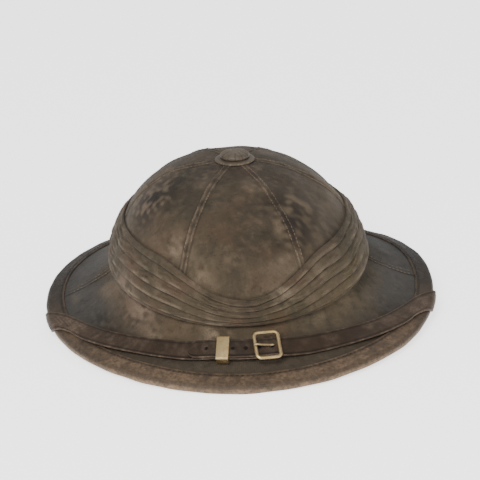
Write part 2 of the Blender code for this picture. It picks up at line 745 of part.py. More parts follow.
def rest_on_floor():
    """Lifts the helmet so that the lowest part of its binding is at height 0."""
    bpy.context.view_layer.update()
    graph = bpy.context.evaluated_depsgraph_get()
    strip = bpy.data.objects["brim_binding"].evaluated_get(graph)
    lowest = min((strip.matrix_world @ vertex.co).z for vertex in strip.data.vertices)
    helmet.location.z -= lowest


for thing in list(bpy.data.objects):
    bpy.data.objects.remove(thing)
helmet_parts = bpy.data.collections.new("pith_helmet")
cutters = bpy.data.collections.new("cutters")
for collection in (helmet_parts, cutters):
    bpy.context.scene.collection.children.link(collection)
helmet = bpy.data.objects.new("helmet", None)
helmet_parts.objects.link(helmet)

shell()
wound_band()
binding()
ventilator()
sweatband()
spacers()
chin_strap()
buckle()
keeper()
screws()
rest_on_floor()
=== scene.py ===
# The looks of a worn pith helmet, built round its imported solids. Lengths are metres and angles are radians.
# The front of the helmet faces -Y. An azimuth of 0 is the front, and a quarter turn is the wearer's left, +X.
import json
import bmesh
import bpy
import numpy as np
from mathutils import Matrix, Vector

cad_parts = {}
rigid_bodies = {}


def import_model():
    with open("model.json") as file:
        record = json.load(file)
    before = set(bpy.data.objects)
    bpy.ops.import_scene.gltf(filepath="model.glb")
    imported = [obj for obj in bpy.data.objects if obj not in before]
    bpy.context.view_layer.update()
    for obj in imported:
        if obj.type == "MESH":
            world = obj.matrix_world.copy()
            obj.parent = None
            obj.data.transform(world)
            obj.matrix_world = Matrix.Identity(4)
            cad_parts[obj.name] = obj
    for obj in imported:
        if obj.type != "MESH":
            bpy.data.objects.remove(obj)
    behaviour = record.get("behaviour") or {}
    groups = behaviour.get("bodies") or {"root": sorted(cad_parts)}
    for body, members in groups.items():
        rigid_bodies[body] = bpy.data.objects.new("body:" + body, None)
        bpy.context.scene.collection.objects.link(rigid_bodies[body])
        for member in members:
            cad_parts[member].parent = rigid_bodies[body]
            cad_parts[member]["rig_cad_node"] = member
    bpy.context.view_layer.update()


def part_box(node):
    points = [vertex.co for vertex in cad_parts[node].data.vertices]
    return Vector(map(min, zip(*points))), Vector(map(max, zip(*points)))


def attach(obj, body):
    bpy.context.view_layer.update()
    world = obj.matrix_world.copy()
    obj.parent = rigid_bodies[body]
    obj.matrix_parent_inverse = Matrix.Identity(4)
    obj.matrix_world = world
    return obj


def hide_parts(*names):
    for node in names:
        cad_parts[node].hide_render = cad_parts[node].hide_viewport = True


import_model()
pi = np.pi


# The shell's outer surface, which every other piece is measured from

shellSizes = dict(
    brimWidth=0.288, brimFront=0.160, brimBack=0.172,
    crownWidth=0.186, crownFront=0.119, crownBack=0.120,
    domeTop=0.1125, fullness=2.15, startShare=0.6,
    seamFront=0.027, seamSide=0.032, seamBack=0.029, edgeSide=0.007,
    hollow=0.5, fillet=0.0065, filletPull=1.1, wall=0.0045, ventHole=0.008,
    leftSwell=0.0022, rightSink=0.0012,
)
# where the old brim has bent: middle and half width in degrees, and its rise at the edge
brimBends = ((103, 38, 0.0050), (-66, 42, -0.0026), (62, 36, -0.0020))
gap = 0.0003  # between pieces that touch
facets = 52  # columns round the solids' own surfaces
ventStack = 0.0072  # from the dome's top to the cap's
axisY = (shellSizes["brimFront"] - shellSizes["brimBack"]) / 2
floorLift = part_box("vent_cap")[1].z - shellSizes["domeTop"] - ventStack
brimSide = (shellSizes["brimWidth"] - shellSizes["crownWidth"]) / 2


def byAzimuth(azimuth, front, side, back):
    # side + (front or back - side) * cos squared
    facing = np.cos(azimuth)
    return side + (np.where(facing > 0, front, back) - side) * facing ** 2


def reach(part, azimuth):
    # half the width of the crown or the brim, and its length in front of the crown's axis or behind it
    s = shellSizes
    return s[part + "Width"] / 2, np.where(np.cos(azimuth) > 0, s[part + "Front"], s[part + "Back"])


def turnFrom(azimuth, middle):
    # angle from the middle one, from half a turn back to half a turn on
    return (azimuth - middle + pi) % (2 * pi) - pi


def floats(*values):
    return np.broadcast_arrays(*(np.asarray(value, float) for value in values))


def grid(across, down):
    # two arrays of one shape: across runs along its rows, and down runs down its columns
    return np.broadcast_arrays(across[None, :], down[:, None])


def onPlan(azimuth, reachX, reachY, height):
    # a point of an oval round the crown's axis
    x, y, z = np.broadcast_arrays(reachX * np.sin(azimuth), axisY - reachY * np.cos(azimuth), height + floorLift)
    return np.stack([x, y, z], -1)


def seamHeight(azimuth):
    return byAzimuth(azimuth, shellSizes["seamFront"], shellSizes["seamSide"], shellSizes["seamBack"])


def domePoint(azimuth, slope):
    # height over the seam = rise * cos(slope) ^ (2 / fullness), reach = crown's reach * sin(slope)
    # one shoulder has swollen and the other has sunk: swell * sin(azimuth) * sin(2 * slope) ^ 2
    seam = seamHeight(azimuth)
    reachX, reachY = reach("crown", azimuth)
    rise = np.maximum(np.cos(slope), 0) ** (2 / shellSizes["fullness"])
    swell = np.where(np.sin(azimuth) < 0, shellSizes["leftSwell"], shellSizes["rightSink"])
    swell = -swell * np.sin(azimuth) * np.sin(2 * slope) ** 2
    height = seam + (shellSizes["domeTop"] - seam) * rise + swell * np.cos(slope)
    return onPlan(azimuth, reachX * np.sin(slope) + swell, reachY * np.sin(slope), height)


def brimBend(azimuth):
    # rise of each bent place * cosine squared of the share of its half width
    total = np.zeros_like(azimuth)
    for middle, halfWidth, rise in brimBends:
        off = np.abs(turnFrom(azimuth, np.radians(middle)))
        total = total + rise * np.cos(pi / 2 * np.minimum(off / np.radians(halfWidth), 1)) ** 2
    return total


def brimPoint(azimuth, share):
    # a brim that falls fast beside the crown and levels out towards its edge
    seam = seamHeight(azimuth)
    fall = seam - byAzimuth(azimuth, 0.0, shellSizes["edgeSide"], 0.0) - brimBend(azimuth)
    fallen = (1 - shellSizes["hollow"]) * share + shellSizes["hollow"] * (1 - (1 - share) ** 2)
    (innerX, innerY), (outerX, outerY) = reach("crown", azimuth), reach("brim", azimuth)
    reachX = innerX + (outerX - innerX) * share
    reachY = innerY + (outerY - innerY) * share
    return onPlan(azimuth, reachX, reachY, seam - fall * fallen)


def unit(vectors):
    return vectors / np.maximum(np.linalg.norm(vectors, axis=-1, keepdims=True), 1e-12)


def domeSlopes(azimuth):
    # the crown's reach on plan, and the dome's slopes at its first row, inside the hole, and at its foot
    s = shellSizes
    reachX, reachY = reach("crown", azimuth)
    plan = np.hypot(reachX * np.sin(azimuth), reachY * np.cos(azimuth))
    rise = s["domeTop"] - seamHeight(azimuth)
    last = np.arccos((s["fillet"] / rise) ** (s["fullness"] / 2))
    return plan, np.arcsin(s["startShare"] * s["ventHole"] / plan), last


def positionAtRadius(azimuth, radius):
    # where each meridian has this distance from the crown's axis: slope = arcsine(radius / reach)
    plan, first, last = domeSlopes(azimuth)
    return (np.arcsin(radius / plan) - first) / (last - first)


def outerSurface(azimuth, position):
    # position runs 0 to 1 down the dome, to 2 round the fillet and to 3 across the brim
    azimuth, position = floats(azimuth, position)
    _, first, last = domeSlopes(azimuth)
    width = reach("brim", azimuth)[1] - reach("crown", azimuth)[1]
    start = shellSizes["fillet"] / np.hypot(brimSide * np.sin(azimuth), width * np.cos(azimuth))
    dome = domePoint(azimuth, first + (last - first) * np.clip(position, 0, 1))
    brim = brimPoint(azimuth, start + (1 - start) * (np.clip(position, 2, 3) - 2))
    top, foot, fine = domePoint(azimuth, last), brimPoint(azimuth, start), 0.01
    down = unit(top - domePoint(azimuth, last - fine))
    out = unit(brimPoint(azimuth, start + fine) - foot)
    turn = shellSizes["filletPull"] * np.linalg.norm(foot - top, axis=-1, keepdims=True)
    u = np.clip(position - 1, 0, 1)[..., None]
    fillet = top * (2 * u**3 - 3 * u**2 + 1) + down * turn * (u**3 - 2 * u**2 + u)
    fillet = fillet + foot * (3 * u**2 - 2 * u**3) + out * turn * (u**3 - u**2)
    where = position[..., None]
    return np.where(where <= 1, dome, np.where(where >= 2, brim, fillet))


def surfaceTangents(azimuth, position):
    # down the meridian and round the shell, as central differences
    fine = 1e-3
    ahead, behind = np.minimum(position + fine, 3), np.maximum(position - fine, 0)
    around = outerSurface(azimuth + fine, position) - outerSurface(azimuth - fine, position)
    return unit(outerSurface(azimuth, ahead) - outerSurface(azimuth, behind)), unit(around)


def surfaceNormal(azimuth, position):
    return unit(np.cross(*surfaceTangents(*floats(azimuth, position))))


def lifted(azimuth, position, lift):
    # a point off the shell; a negative lift reaches through it
    azimuth, position, lift = np.broadcast_arrays(azimuth, position, lift)
    return outerSurface(azimuth, position) + surfaceNormal(azimuth, position) * lift[..., None]


def positionAt(azimuth, height, lift=0.0):
    # halving until the lifted surface has this height over the floor
    azimuth, height = floats(azimuth, height)
    low, high = np.zeros(azimuth.shape), np.full(azimuth.shape, 3.0)
    for _ in range(22):
        middle = (low + high) / 2
        above = lifted(azimuth, middle, lift)[..., 2] > height
        low, high = np.where(above, middle, low), np.where(above, high, middle)
    return (low + high) / 2


edgeAzimuths = np.linspace(-pi, pi, 361)
edgeDistances = np.linspace(0, 0.078, 157)


def measureFromEdge():
    # for each azimuth, the position on the meridian at each distance from the brim's edge
    positions = np.linspace(3.0, 0.6, 241)
    points = outerSurface(edgeAzimuths[:, None], positions[None, :])
    walked = np.cumsum(np.linalg.norm(np.diff(points, axis=1), axis=2), axis=1)
    walked = np.concatenate([np.zeros((len(edgeAzimuths), 1)), walked], axis=1)
    return np.array([np.interp(edgeDistances, line, positions) for line in walked])


edgeTable = measureFromEdge()


def positionFromEdge(azimuth, distance):
    # reads the table between its four nearest entries
    across = (turnFrom(azimuth, 0) + pi) / (2 * pi) * (len(edgeAzimuths) - 1)
    along = np.clip(distance / edgeDistances[-1], 0, 1) * (len(edgeDistances) - 1)
    i = np.clip(across.astype(int), 0, len(edgeAzimuths) - 2)
    j = np.clip(along.astype(int), 0, len(edgeDistances) - 2)
    u, v = across - i, along - j
    near = edgeTable[i, j] * (1 - v) + edgeTable[i, j + 1] * v
    far = edgeTable[i + 1, j] * (1 - v) + edgeTable[i + 1, j + 1] * v
    return near * (1 - u) + far * u


def smoothStep(values, low, high):
    t = np.clip((values - low) / (high - low), 0, 1)
    return t * t * (3 - 2 * t)


def roughWaves(seed, points, sizes, count=14):
    # a soft uneven field from -1 to 1: the mean of sine waves in seeded directions, one set for each size of bump
    rng = np.random.default_rng(seed)
    total = np.zeros(points.shape[:-1])
    for size in sizes:
        directions = unit(rng.normal(size=(count, 3)))
        for direction, phase in zip(directions, rng.uniform(0, 2 * pi, count)):
            total += np.sin(points @ direction * (2 * pi / size) + phase) / np.sqrt(count)
    return total / len(sizes)


def patches(seed, points, sizes, low, high):
    # a soft uneven field cut off below low and above high, from 0 to 1
    return smoothStep(roughWaves(seed, points, sizes), low, high)


# Rubbed, soiled and tinted places: azimuth in degrees, height over the floor, size round the helmet, size up it,
# and strength. The soiled places are partly soiling and partly painted shade: the thin ones low on the near brim
# follow the chin strap as its painted shadow, and the ones high on the crown darken its top and shoulders as painted
# shade
rubbedPlaces = (
    (-35, 0.081, 0.013, 0.008, 0.60), (-21, 0.067, 0.010, 0.009, 0.50), (44, 0.080, 0.008, 0.012, 0.30),
    (36, 0.064, 0.009, 0.008, 0.40), (17, 0.054, 0.010, 0.007, 0.70), (-12, 0.029, 0.011, 0.006, 1.10),
    (7, 0.026, 0.008, 0.005, 0.45), (-61, 0.043, 0.012, 0.009, 0.55), (-49, 0.032, 0.014, 0.006, 0.75),
    (-37, 0.024, 0.011, 0.004, 0.55), (34, 0.031, 0.012, 0.005, 0.30), (50, 0.034, 0.014, 0.006, 0.35),
)
soiledAndShadedPlaces = (
    (-61, 0.020, 0.020, 0.004, 0.7), (-45, 0.0165, 0.022, 0.004, 0.7), (-27, 0.0160, 0.022, 0.004, 0.6),
    (59, 0.0175, 0.022, 0.004, 0.5), (38, 0.0180, 0.022, 0.004, 0.4), (20, 0.0155, 0.018, 0.004, 0.3),
    (62, 0.076, 0.016, 0.010, 0.5), (-92, 0.030, 0.020, 0.008, 0.3), (104, 0.028, 0.026, 0.008, 0.5),
    (40, 0.102, 0.045, 0.022, 0.38), (-50, 0.112, 0.045, 0.014, 0.15), (170, 0.100, 0.060, 0.020, 0.25),
    (0, 0.046, 0.030, 0.010, 0.35), (31, 0.084, 0.030, 0.018, 0.45), (-3, 0.078, 0.022, 0.016, 0.35),
    (-78, 0.095, 0.024, 0.024, 0.55), (48, 0.066, 0.016, 0.012, 0.20), (-66, 0.097, 0.015, 0.015, 0.60),
    (36, 0.096, 0.022, 0.020, 0.35),
)
tintedPlaces = dict(
    yellowed=((62, 0.056, 0.034, 0.022, 0.9), (44, 0.040, 0.030, 0.012, 0.7)),
    rosy=((-60, 0.044, 0.018, 0.013, 0.8), (-47, 0.032, 0.016, 0.008, 0.8)),
    rusty=((13, 0.036, 0.016, 0.012, 0.7), (-33, 0.025, 0.014, 0.006, 0.6), (30, 0.084, 0.022, 0.014, 0.5)),
)


def placesShare(azimuth, points, places):
    # strength * exp(-(way round / size)^2 - (way up / size)^2), summed and broken up by a soft field
    total = np.zeros(points.shape[:-1])
    for turn, height, wide, tall, strength in places:
        way = turnFrom(azimuth, np.radians(turn)) * np.hypot(points[..., 0], points[..., 1] - axisY)
        total += strength * np.exp(-(way / wide) ** 2 - ((points[..., 2] - height) / tall) ** 2)
    return total * patches(23, points, [0.014, 0.006], -0.9, 0.4)


def placeFields(azimuth, points, wear, grime):
    # wear, and soiling mixed with painted shade, with the places added to them, and a field for each tint
    found = dict(wear=wear + placesShare(azimuth, points, rubbedPlaces),
                 grime=np.maximum(grime, placesShare(azimuth, points, soiledAndShadedPlaces)))
    for tint, places in tintedPlaces.items():
        found[tint] = placesShare(azimuth, points, places)
    return {key: np.clip(values, 0, 1) for key, values in found.items()}


# Meshes from whole arrays of points

def newPiece(name, points, faces):
    mesh = bpy.data.meshes.new(name)
    mesh.from_pydata(points.reshape(-1, 3), [], faces)
    mesh.shade_smooth()
    piece = bpy.data.objects.new(name, mesh)
    bpy.context.scene.collection.objects.link(piece)
    return piece


def surfacePiece(name, points, wrapRows=False, wrapColumns=False, place=None, fields=None, flip=False, caps=False):
    # points is a grid of rows and columns; each cell of it becomes one face, and place holds its corners' UV
    # caps closes the first row and the last one with one face each
    rows, columns = points.shape[:2]
    r = np.arange(rows if wrapRows else rows - 1)[:, None]
    c = np.arange(columns if wrapColumns else columns - 1)[None, :]
    way = -1 if flip else 1
    corners = [(r, c), (r + 1, c), (r + 1, c + 1), (r, c + 1)][::way]
    faces = np.stack([(i % rows) * columns + j % columns for i, j in corners], -1).reshape(-1, 4).tolist()
    first, last = np.arange(columns)[::way], np.arange(columns)[::-way]
    if caps:
        faces += [first.tolist(), (last + (rows - 1) * columns).tolist()]
    piece = newPiece(name, points, faces)
    if place is not None:
        layer = piece.data.uv_layers.new(name="place")
        spread = np.stack([place[i, j] for i, j in corners], 2).reshape(-1, 2)
        if caps:
            spread = np.concatenate([spread, place[0, first], place[rows - 1, last]])
        layer.data.foreach_set("uv", spread.astype(np.float32).ravel())
    for key, values in (fields or {}).items():
        made = piece.data.attributes.new(key, "FLOAT", "POINT")
        made.data.foreach_set("value", np.broadcast_to(values, (rows, columns)).astype(np.float32).ravel())
    return piece


def dress(piece, nodes, material):
    # a finished piece: on its body, in place of its solids, with its material
    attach(piece, "root")
    if nodes:
        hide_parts(*nodes)
    piece.data.materials.clear()
    piece.data.materials.append(material)
    print(f"{piece.name}: {len(piece.data.polygons)} faces")


def walkedLength(points, axis):
    # running length along one axis of a grid of points, starting at 0
    steps = np.linalg.norm(np.diff(points, axis=axis), axis=-1)
    start = np.zeros_like(np.take(steps, [0], axis=axis))
    return np.concatenate([start, np.cumsum(steps, axis=axis)], axis=axis)


def pick(line, walked, at):
    # points of a line where its running length has these values
    return np.stack([np.interp(at, walked, line[:, k]) for k in range(3)], -1)


def loopPlace(points, around):
    # UV in metres: length along the rows, and length round the first column's closed loop
    length = walkedLength(np.concatenate([points, points[:1]]), 0)[:, :1]
    return np.stack(np.broadcast_arrays(around[None, :], length), -1)


# Materials: nodes that read each piece's own UV in metres, its attributes and Object coordinates

class NodeBoard:
    # a short way to lay out and join the nodes of one material
    def __init__(self, name):
        self.material = bpy.data.materials.new(name)
        self.material.use_nodes = True
        self.tree = self.material.node_tree
        self.shader = self.tree.nodes["Principled BSDF"]
        self.place = self.add("ShaderNodeTexCoord").outputs["Object"]

    def add(self, kind, settings=None, **inputs):
        node = self.tree.nodes.new(kind)
        for key, value in (settings or {}).items():
            setattr(node, key, value)
        for key, value in inputs.items():
            self.feed(node.inputs[key.replace("_", " ")], value)
        return node

    def feed(self, socket, value):
        if isinstance(value, bpy.types.NodeSocket):
            self.tree.links.new(value, socket)
        elif value is not None:
            socket.default_value = value

    def math(self, operation, *values, clamp=False):
        node = self.add("ShaderNodeMath", {"operation": operation, "use_clamp": clamp})
        for socket, value in zip(node.inputs, values):
            self.feed(socket, value)
        return node.outputs[0]

    def noise(self, scale, detail=4.0, roughness=0.55, stretch=None):
        # a noise pattern with about this many bumps in a metre
        where = self.place
        if stretch:
            where = self.add("ShaderNodeMapping", Vector=where, Scale=stretch).outputs[0]
        node = self.add("ShaderNodeTexNoise", Vector=where, Scale=scale, Detail=detail, Roughness=roughness)
        return node.outputs["Fac"]

    def cells(self, scale):
        # distance to the edges of random cells, with about this many in a metre
        settings = {"feature": "DISTANCE_TO_EDGE"}
        return self.add("ShaderNodeTexVoronoi", settings, Vector=self.place, Scale=scale).outputs["Distance"]

    def times(self, first, second):
        return self.math("MULTIPLY", first, second)

    def remap(self, value, low, high, newLow=0.0, newHigh=1.0):
        node = self.add("ShaderNodeMapRange", {"clamp": True})
        for socket, entry in zip(node.inputs, (value, low, high, newLow, newHigh)):
            self.feed(socket, entry)
        return node.outputs[0]

    def mix(self, share, first, second):
        node = self.add("ShaderNodeMix", {"data_type": "RGBA", "blend_type": "MIX", "clamp_factor": True})
        for k, value in zip((0, 6, 7), (share, first, second)):
            self.feed(node.inputs[k], (*value, 1) if isinstance(value, tuple) else value)
        return node.outputs[2]

    def layered(self, colour, layers):
        # each row: a pattern, its values where the layer starts and where it is full, the full share, its colour
        for pattern, start, end, full, over in layers:
            colour = self.mix(self.remap(pattern, start, end, 0.0, full), colour, over)
        return colour

    def field(self, name):
        return self.add("ShaderNodeAttribute", {"attribute_name": name}).outputs["Fac"]

    def uv(self):
        split = self.add("ShaderNodeSeparateXYZ", Vector=self.add("ShaderNodeUVMap", {"uv_map": "place"}).outputs[0])
        return split.outputs[0], split.outputs[1]

    def bump(self, height, strength, distance, normal=None):
        node = self.add("ShaderNodeBump", Strength=strength, Distance=distance, Height=height)
        if normal is not None:
            self.feed(node.inputs["Normal"], normal)
        return node.outputs[0]

    def weave(self, u, v, pitch):
        # threads that pass over and under each other: the higher of two rows of half-round threads
        across, along = self.times(u, pi / pitch), self.times(v, pi / pitch)
        warp, weft = (self.math("ABSOLUTE", self.math("SINE", way)) for way in (across, along))
        over = self.remap(self.times(self.math("COSINE", across), self.math("COSINE", along)), -0.4, 0.4)
        return self.math("ADD", self.times(warp, over), self.times(weft, self.math("SUBTRACT", 1.0, over)))

    def done(self, colour, roughness, normal, **constants):
        self.feed(self.shader.inputs["Base Color"], colour)
        self.feed(self.shader.inputs["Roughness"], roughness)
        self.feed(self.shader.inputs["Normal"], normal)
        for key, value in constants.items():
            self.shader.inputs[key.replace("_", " ")].default_value = value
        return self.material


def wornCloth(name, look):
    # a plain weave with thread colour, soft stains, faded high places and dirt; painted shade between the threads and
    # in the seams and creases, a brim painted darker partly as shade, and grey on the brim's sides and back that is
    # partly painted sheen
    board = NodeBoard(name)
    threads = board.weave(*board.uv(), look["thread"])
    stains = board.noise(look["stainScale"], 6.0, 0.62)
    warmth = board.noise(look["warmScale"], 3.0, 0.5, stretch=(1.0, 1.0, 1.6))
    blotches = board.noise(look["blotchScale"], 5.0, 0.6)
    specks, flecks = board.noise(330.0, 3.0, 0.7), board.noise(900.0, 2.0, 0.6)
    scuffs = board.noise(170.0, 4.0, 0.68)
    under, lining = (board.mix(stains, look[key + "Colour"], look[key + "Stain"]) for key in ("under", "lining"))
    worn = board.times(board.field("wear"), board.remap(flecks, 0.25, 0.6, 0.35, 1.0))
    darkening = look["grimeColour"]
    colour = board.layered(look["base"], [
        (stains, 0.38, 0.62, 1.0, look["stain"]),
        (warmth, 0.50, 0.68, 0.6, look["warm"]),
        (blotches, 0.50, 0.68, look["blotchShare"], look["fade"]),
        # the brim: its own darker cloth, and partly painted shade under the crown and the chin strap
        (board.field("brim"), 0.0, 1.0, 0.85, look["brimColourWithShade"]),
        # grey on the brim's sides and back: partly dust and partly painted sheen
        (board.field("dustAndSheen"), 0.0, 1.0, 0.9, look["dustAndSheenColour"]),
        *((board.field(tint), 0.0, 1.0, 0.75, look[tint]) for tint in tintedPlaces),
        (scuffs, 0.54, 0.70, 0.42, look["fade"]),
        (scuffs, 0.46, 0.32, 0.40, darkening),
        (board.field("underBrim"), 0.0, 1.0, 1.0, under),
        (board.field("crownLining"), 0.0, 1.0, 1.0, lining),
        (specks, 0.62, 0.74, 0.55, darkening),
        (worn, 0.0, 1.0, 1.0, look["wornColour"]),
        # the darkening field: real soiling, and painted shade in the seams, creases and along the chin strap
        (board.field("grime"), 0.0, 1.0, 1.0, darkening),
        # painted shade in the gaps between the threads
        (threads, 0.7, 0.0, 0.42, darkening),
    ])
    bumps = board.bump(board.noise(260.0, 3.0), 0.35, 0.0006, board.bump(threads, 0.5, 0.00025))
    return board.done(colour, board.remap(stains, 0.3, 0.7, 0.80, 0.94), bumps,
                      Specular_IOR_Level=0.18, Sheen_Weight=0.04, Sheen_Roughness=0.5)


def punchedHoles(board, look):
    # distance to the nearest of a row of holes = root of (way along to it squared + way across to it squared)
    u, v = board.uv()
    inRow = board.math("MINIMUM", board.math("MAXIMUM", u, look["firstHole"]), look["lastHole"])
    cell = board.math("ADD", board.math("FLOOR", board.math("DIVIDE", inRow, look["holePitch"])), 0.5)
    along = board.math("SUBTRACT", u, board.times(cell, look["holePitch"]))
    across = board.math("SUBTRACT", v, look["holeMiddle"])
    return board.math("SQRT", board.math("ADD", board.times(along, along), board.times(across, across)))


def wornLeather(name, look):
    # fine pebbled grain, soft creases, and scuffs where it rubs
    board = NodeBoard(name)
    pebbles = board.remap(board.cells(1100.0), 0.0, 0.3)
    tone, scuffs = board.noise(look["toneScale"], 5.0, 0.6), board.noise(420.0, 4.0, 0.65)
    rubbed = board.times(board.field("wear"), board.remap(scuffs, 0.32, 0.62, 0.25, 1.0))
    colour = board.layered(look["base"], [
        (tone, 0.35, 0.68, 1.0, look["tone"]),
        (rubbed, 0.0, 1.0, 1.0, look["wornColour"]),
        # the darkening field: sweat on the head ring, and painted shade in the pressed and stitched grooves of the
        # binding and strap
        (board.field("grime"), 0.0, 1.0, 1.0, look["grimeColour"]),
    ])
    bumps = board.bump(board.noise(170.0, 5.0, 0.6), 0.4, 0.0007, board.bump(pebbles, 0.35, 0.00022))
    if "holePitch" in look:
        away, radius = punchedHoles(board, look), look["holeRadius"]
        colour = board.layered(colour, [(away, radius * 1.05, radius * 0.8, 1.0, look["holeColour"])])
        bumps = board.bump(board.remap(away, radius * 0.8, radius * 1.5), 0.7, 0.0009, bumps)
    rough = board.remap(scuffs, 0.3, 0.7, look["gloss"], look["gloss"] + 0.22)
    return board.done(colour, rough, bumps, Specular_IOR_Level=look["shine"])


clothLook = dict(
    thread=0.0009, stainScale=17.0, warmScale=26.0, blotchScale=62.0, blotchShare=0.55,
    base=(0.064, 0.046, 0.027), stain=(0.041, 0.033, 0.021), warm=(0.068, 0.042, 0.026), fade=(0.094, 0.068, 0.044),
    brimColourWithShade=(0.046, 0.036, 0.0245), dustAndSheenColour=(0.047, 0.044, 0.040),
    wornColour=(0.200, 0.148, 0.100), grimeColour=(0.014, 0.010, 0.007),
    yellowed=(0.072, 0.055, 0.024), rosy=(0.098, 0.064, 0.050), rusty=(0.078, 0.045, 0.022),
    underColour=(0.036, 0.038, 0.022), underStain=(0.024, 0.024, 0.015),
    liningColour=(0.17, 0.125, 0.075), liningStain=(0.11, 0.078, 0.045),
)
bandLook = dict(
    clothLook,
    thread=0.0010, stainScale=21.0, warmScale=33.0, blotchScale=70.0, blotchShare=0.65,
    base=(0.068, 0.049, 0.030), stain=(0.043, 0.035, 0.021), warm=(0.078, 0.046, 0.029), fade=(0.100, 0.072, 0.047),
    wornColour=(0.21, 0.158, 0.108),
)
bindingLook = dict(
    toneScale=30.0, gloss=0.50, shine=0.22,
    base=(0.016, 0.013, 0.010), tone=(0.030, 0.022, 0.015),
    wornColour=(0.195, 0.127, 0.076), grimeColour=(0.006, 0.005, 0.004),
)
strapLook = dict(
    toneScale=42.0, gloss=0.50, shine=0.16,
    base=(0.016, 0.010, 0.006), tone=(0.028, 0.017, 0.010),
    wornColour=(0.105, 0.074, 0.052), grimeColour=(0.004, 0.003, 0.002),
)
tailLook = dict(strapLook, holePitch=0.0095, holeRadius=0.0013, holeMiddle=0.0079, firstHole=0.012, lastHole=0.066,
                holeColour=(0.002, 0.0015, 0.001))
headLook = dict(
    toneScale=24.0, gloss=0.40, shine=0.4,
    base=(0.12, 0.058, 0.027), tone=(0.075, 0.035, 0.017),
    wornColour=(0.20, 0.115, 0.060), grimeColour=(0.028, 0.013, 0.007),
)
ventLook = dict(paint=(0.050, 0.036, 0.023), faded=(0.080, 0.060, 0.040), bare=(0.22, 0.16, 0.09),
                darkening=(0.012, 0.009, 0.006))
brassLook = dict(bright=(0.52, 0.39, 0.20), tarnish=(0.24, 0.165, 0.080), rough=0.36)
corkLook = dict(base=(0.24, 0.14, 0.07), dark=(0.08, 0.042, 0.02))


def corkMaterial(look):
    # pressed granules with dark joints
    board = NodeBoard("granulatedCork")
    joints, tone = board.remap(board.cells(420.0), 0.0, 0.14), board.noise(300.0, 3.0)
    granules = board.times(joints, board.remap(tone, 0.3, 0.7, 0.35, 1.0))
    return board.done(board.mix(granules, look["dark"], look["base"]), board.remap(tone, 0.3, 0.7, 0.75, 0.95),
                      board.bump(joints, 0.6, 0.0006), Specular_IOR_Level=0.2)


def chippedPaint(look):
    # brown paint over pressed metal, gone from the high places that are rubbed
    board = NodeBoard("chippedPaint")
    clouds, chips = board.noise(120.0, 5.0, 0.6), board.noise(620.0, 4.0, 0.7)
    worn = board.math("MULTIPLY", board.field("wear"), board.remap(chips, 0.54, 0.64, 0.0, 1.6), clamp=True)
    colour = board.layered(look["paint"], [
        (clouds, 0.35, 0.65, 1.0, look["faded"]),
        (worn, 0.0, 1.0, 1.0, look["bare"]),
        # the darkening field: painted shade in the button's pleat creases and round the flange under the button's rim
        (board.field("grime"), 0.0, 1.0, 1.0, look["darkening"]),
    ])
    bumps = board.bump(clouds, 0.2, 0.0004, board.bump(board.math("SUBTRACT", 1.0, worn), 0.5, 0.0002))
    return board.done(colour, board.remap(clouds, 0.3, 0.7, 0.48, 0.66), bumps, Specular_IOR_Level=0.4)


def agedBrass(look):
    # rubbed bright on its high places and brown where it has tarnished
    board = NodeBoard("agedBrass")
    clouds, scratches = board.noise(160.0, 5.0, 0.6), board.noise(700.0, 3.0, 0.6, stretch=(1.0, 1.0, 0.15))
    colour = board.mix(board.remap(clouds, 0.30, 0.72), look["bright"], look["tarnish"])
    rough = board.remap(clouds, 0.35, 0.65, look["rough"], look["rough"] + 0.3)
    return board.done(colour, rough, board.bump(scratches, 0.25, 0.0002), Metallic=1.0)


def threadMaterial(name, light, dark):
    # twisted waxed thread, lighter where it is rubbed
    board = NodeBoard(name)
    tone, twist = board.noise(140.0, 4.0, 0.6), board.noise(2600.0, 2.0, 0.5, stretch=(1.0, 1.0, 0.4))
    colour = board.mix(board.remap(tone, 0.38, 0.62), dark, light)
    return board.done(colour, board.remap(twist, 0.3, 0.7, 0.6, 0.85), board.bump(twist, 0.4, 0.0001),
                      Specular_IOR_Level=0.3)


shellCloth = wornCloth("shellCloth", clothLook)
bandCloth = wornCloth("bandCloth", bandLook)
bindingLeather = wornLeather("bindingLeather", bindingLook)
strapLeather = wornLeather("strapLeather", strapLook)
tailLeather = wornLeather("tailLeather", tailLook)
headLeather = wornLeather("headLeather", headLook)
brass = agedBrass(brassLook)
ventPaint = chippedPaint(ventLook)
cork = corkMaterial(corkLook)
paleThread = threadMaterial("paleThread", (0.16, 0.115, 0.072), (0.060, 0.042, 0.027))
darkThread = threadMaterial("darkThread", (0.050, 0.034, 0.022), (0.020, 0.013, 0.008))


# The wound band's course over the shell

bandSizes = dict(
    foot=0.0010, height=0.038, frontDip=0.019, dipAngle=np.radians(46),
    coreTop=0.0012, coreFoot=0.0042, fold=0.0022, folds=5, lean=1.5,
    columns=620, rows=128, rowsInside=6, lap=0.12, crossing=0.20,
    crease=0.00032, creasePitch=0.0031, wave=0.0005, sag=0.12, over=0.25, leastThick=0.0009, placeWave=0.02,
)


def bandTop(azimuth):
    # upper edge over the seam: height - dip * cosine squared, near the front only
    off = np.abs(turnFrom(azimuth, 0))
    dip = np.cos(pi / 2 * np.minimum(off / bandSizes["dipAngle"], 1)) ** 2
    return seamHeight(azimuth) + bandSizes["foot"] + bandSizes["height"] - bandSizes["frontDip"] * dip


# The shell: pith covered with cloth in six gores, and a brim covered in two pieces

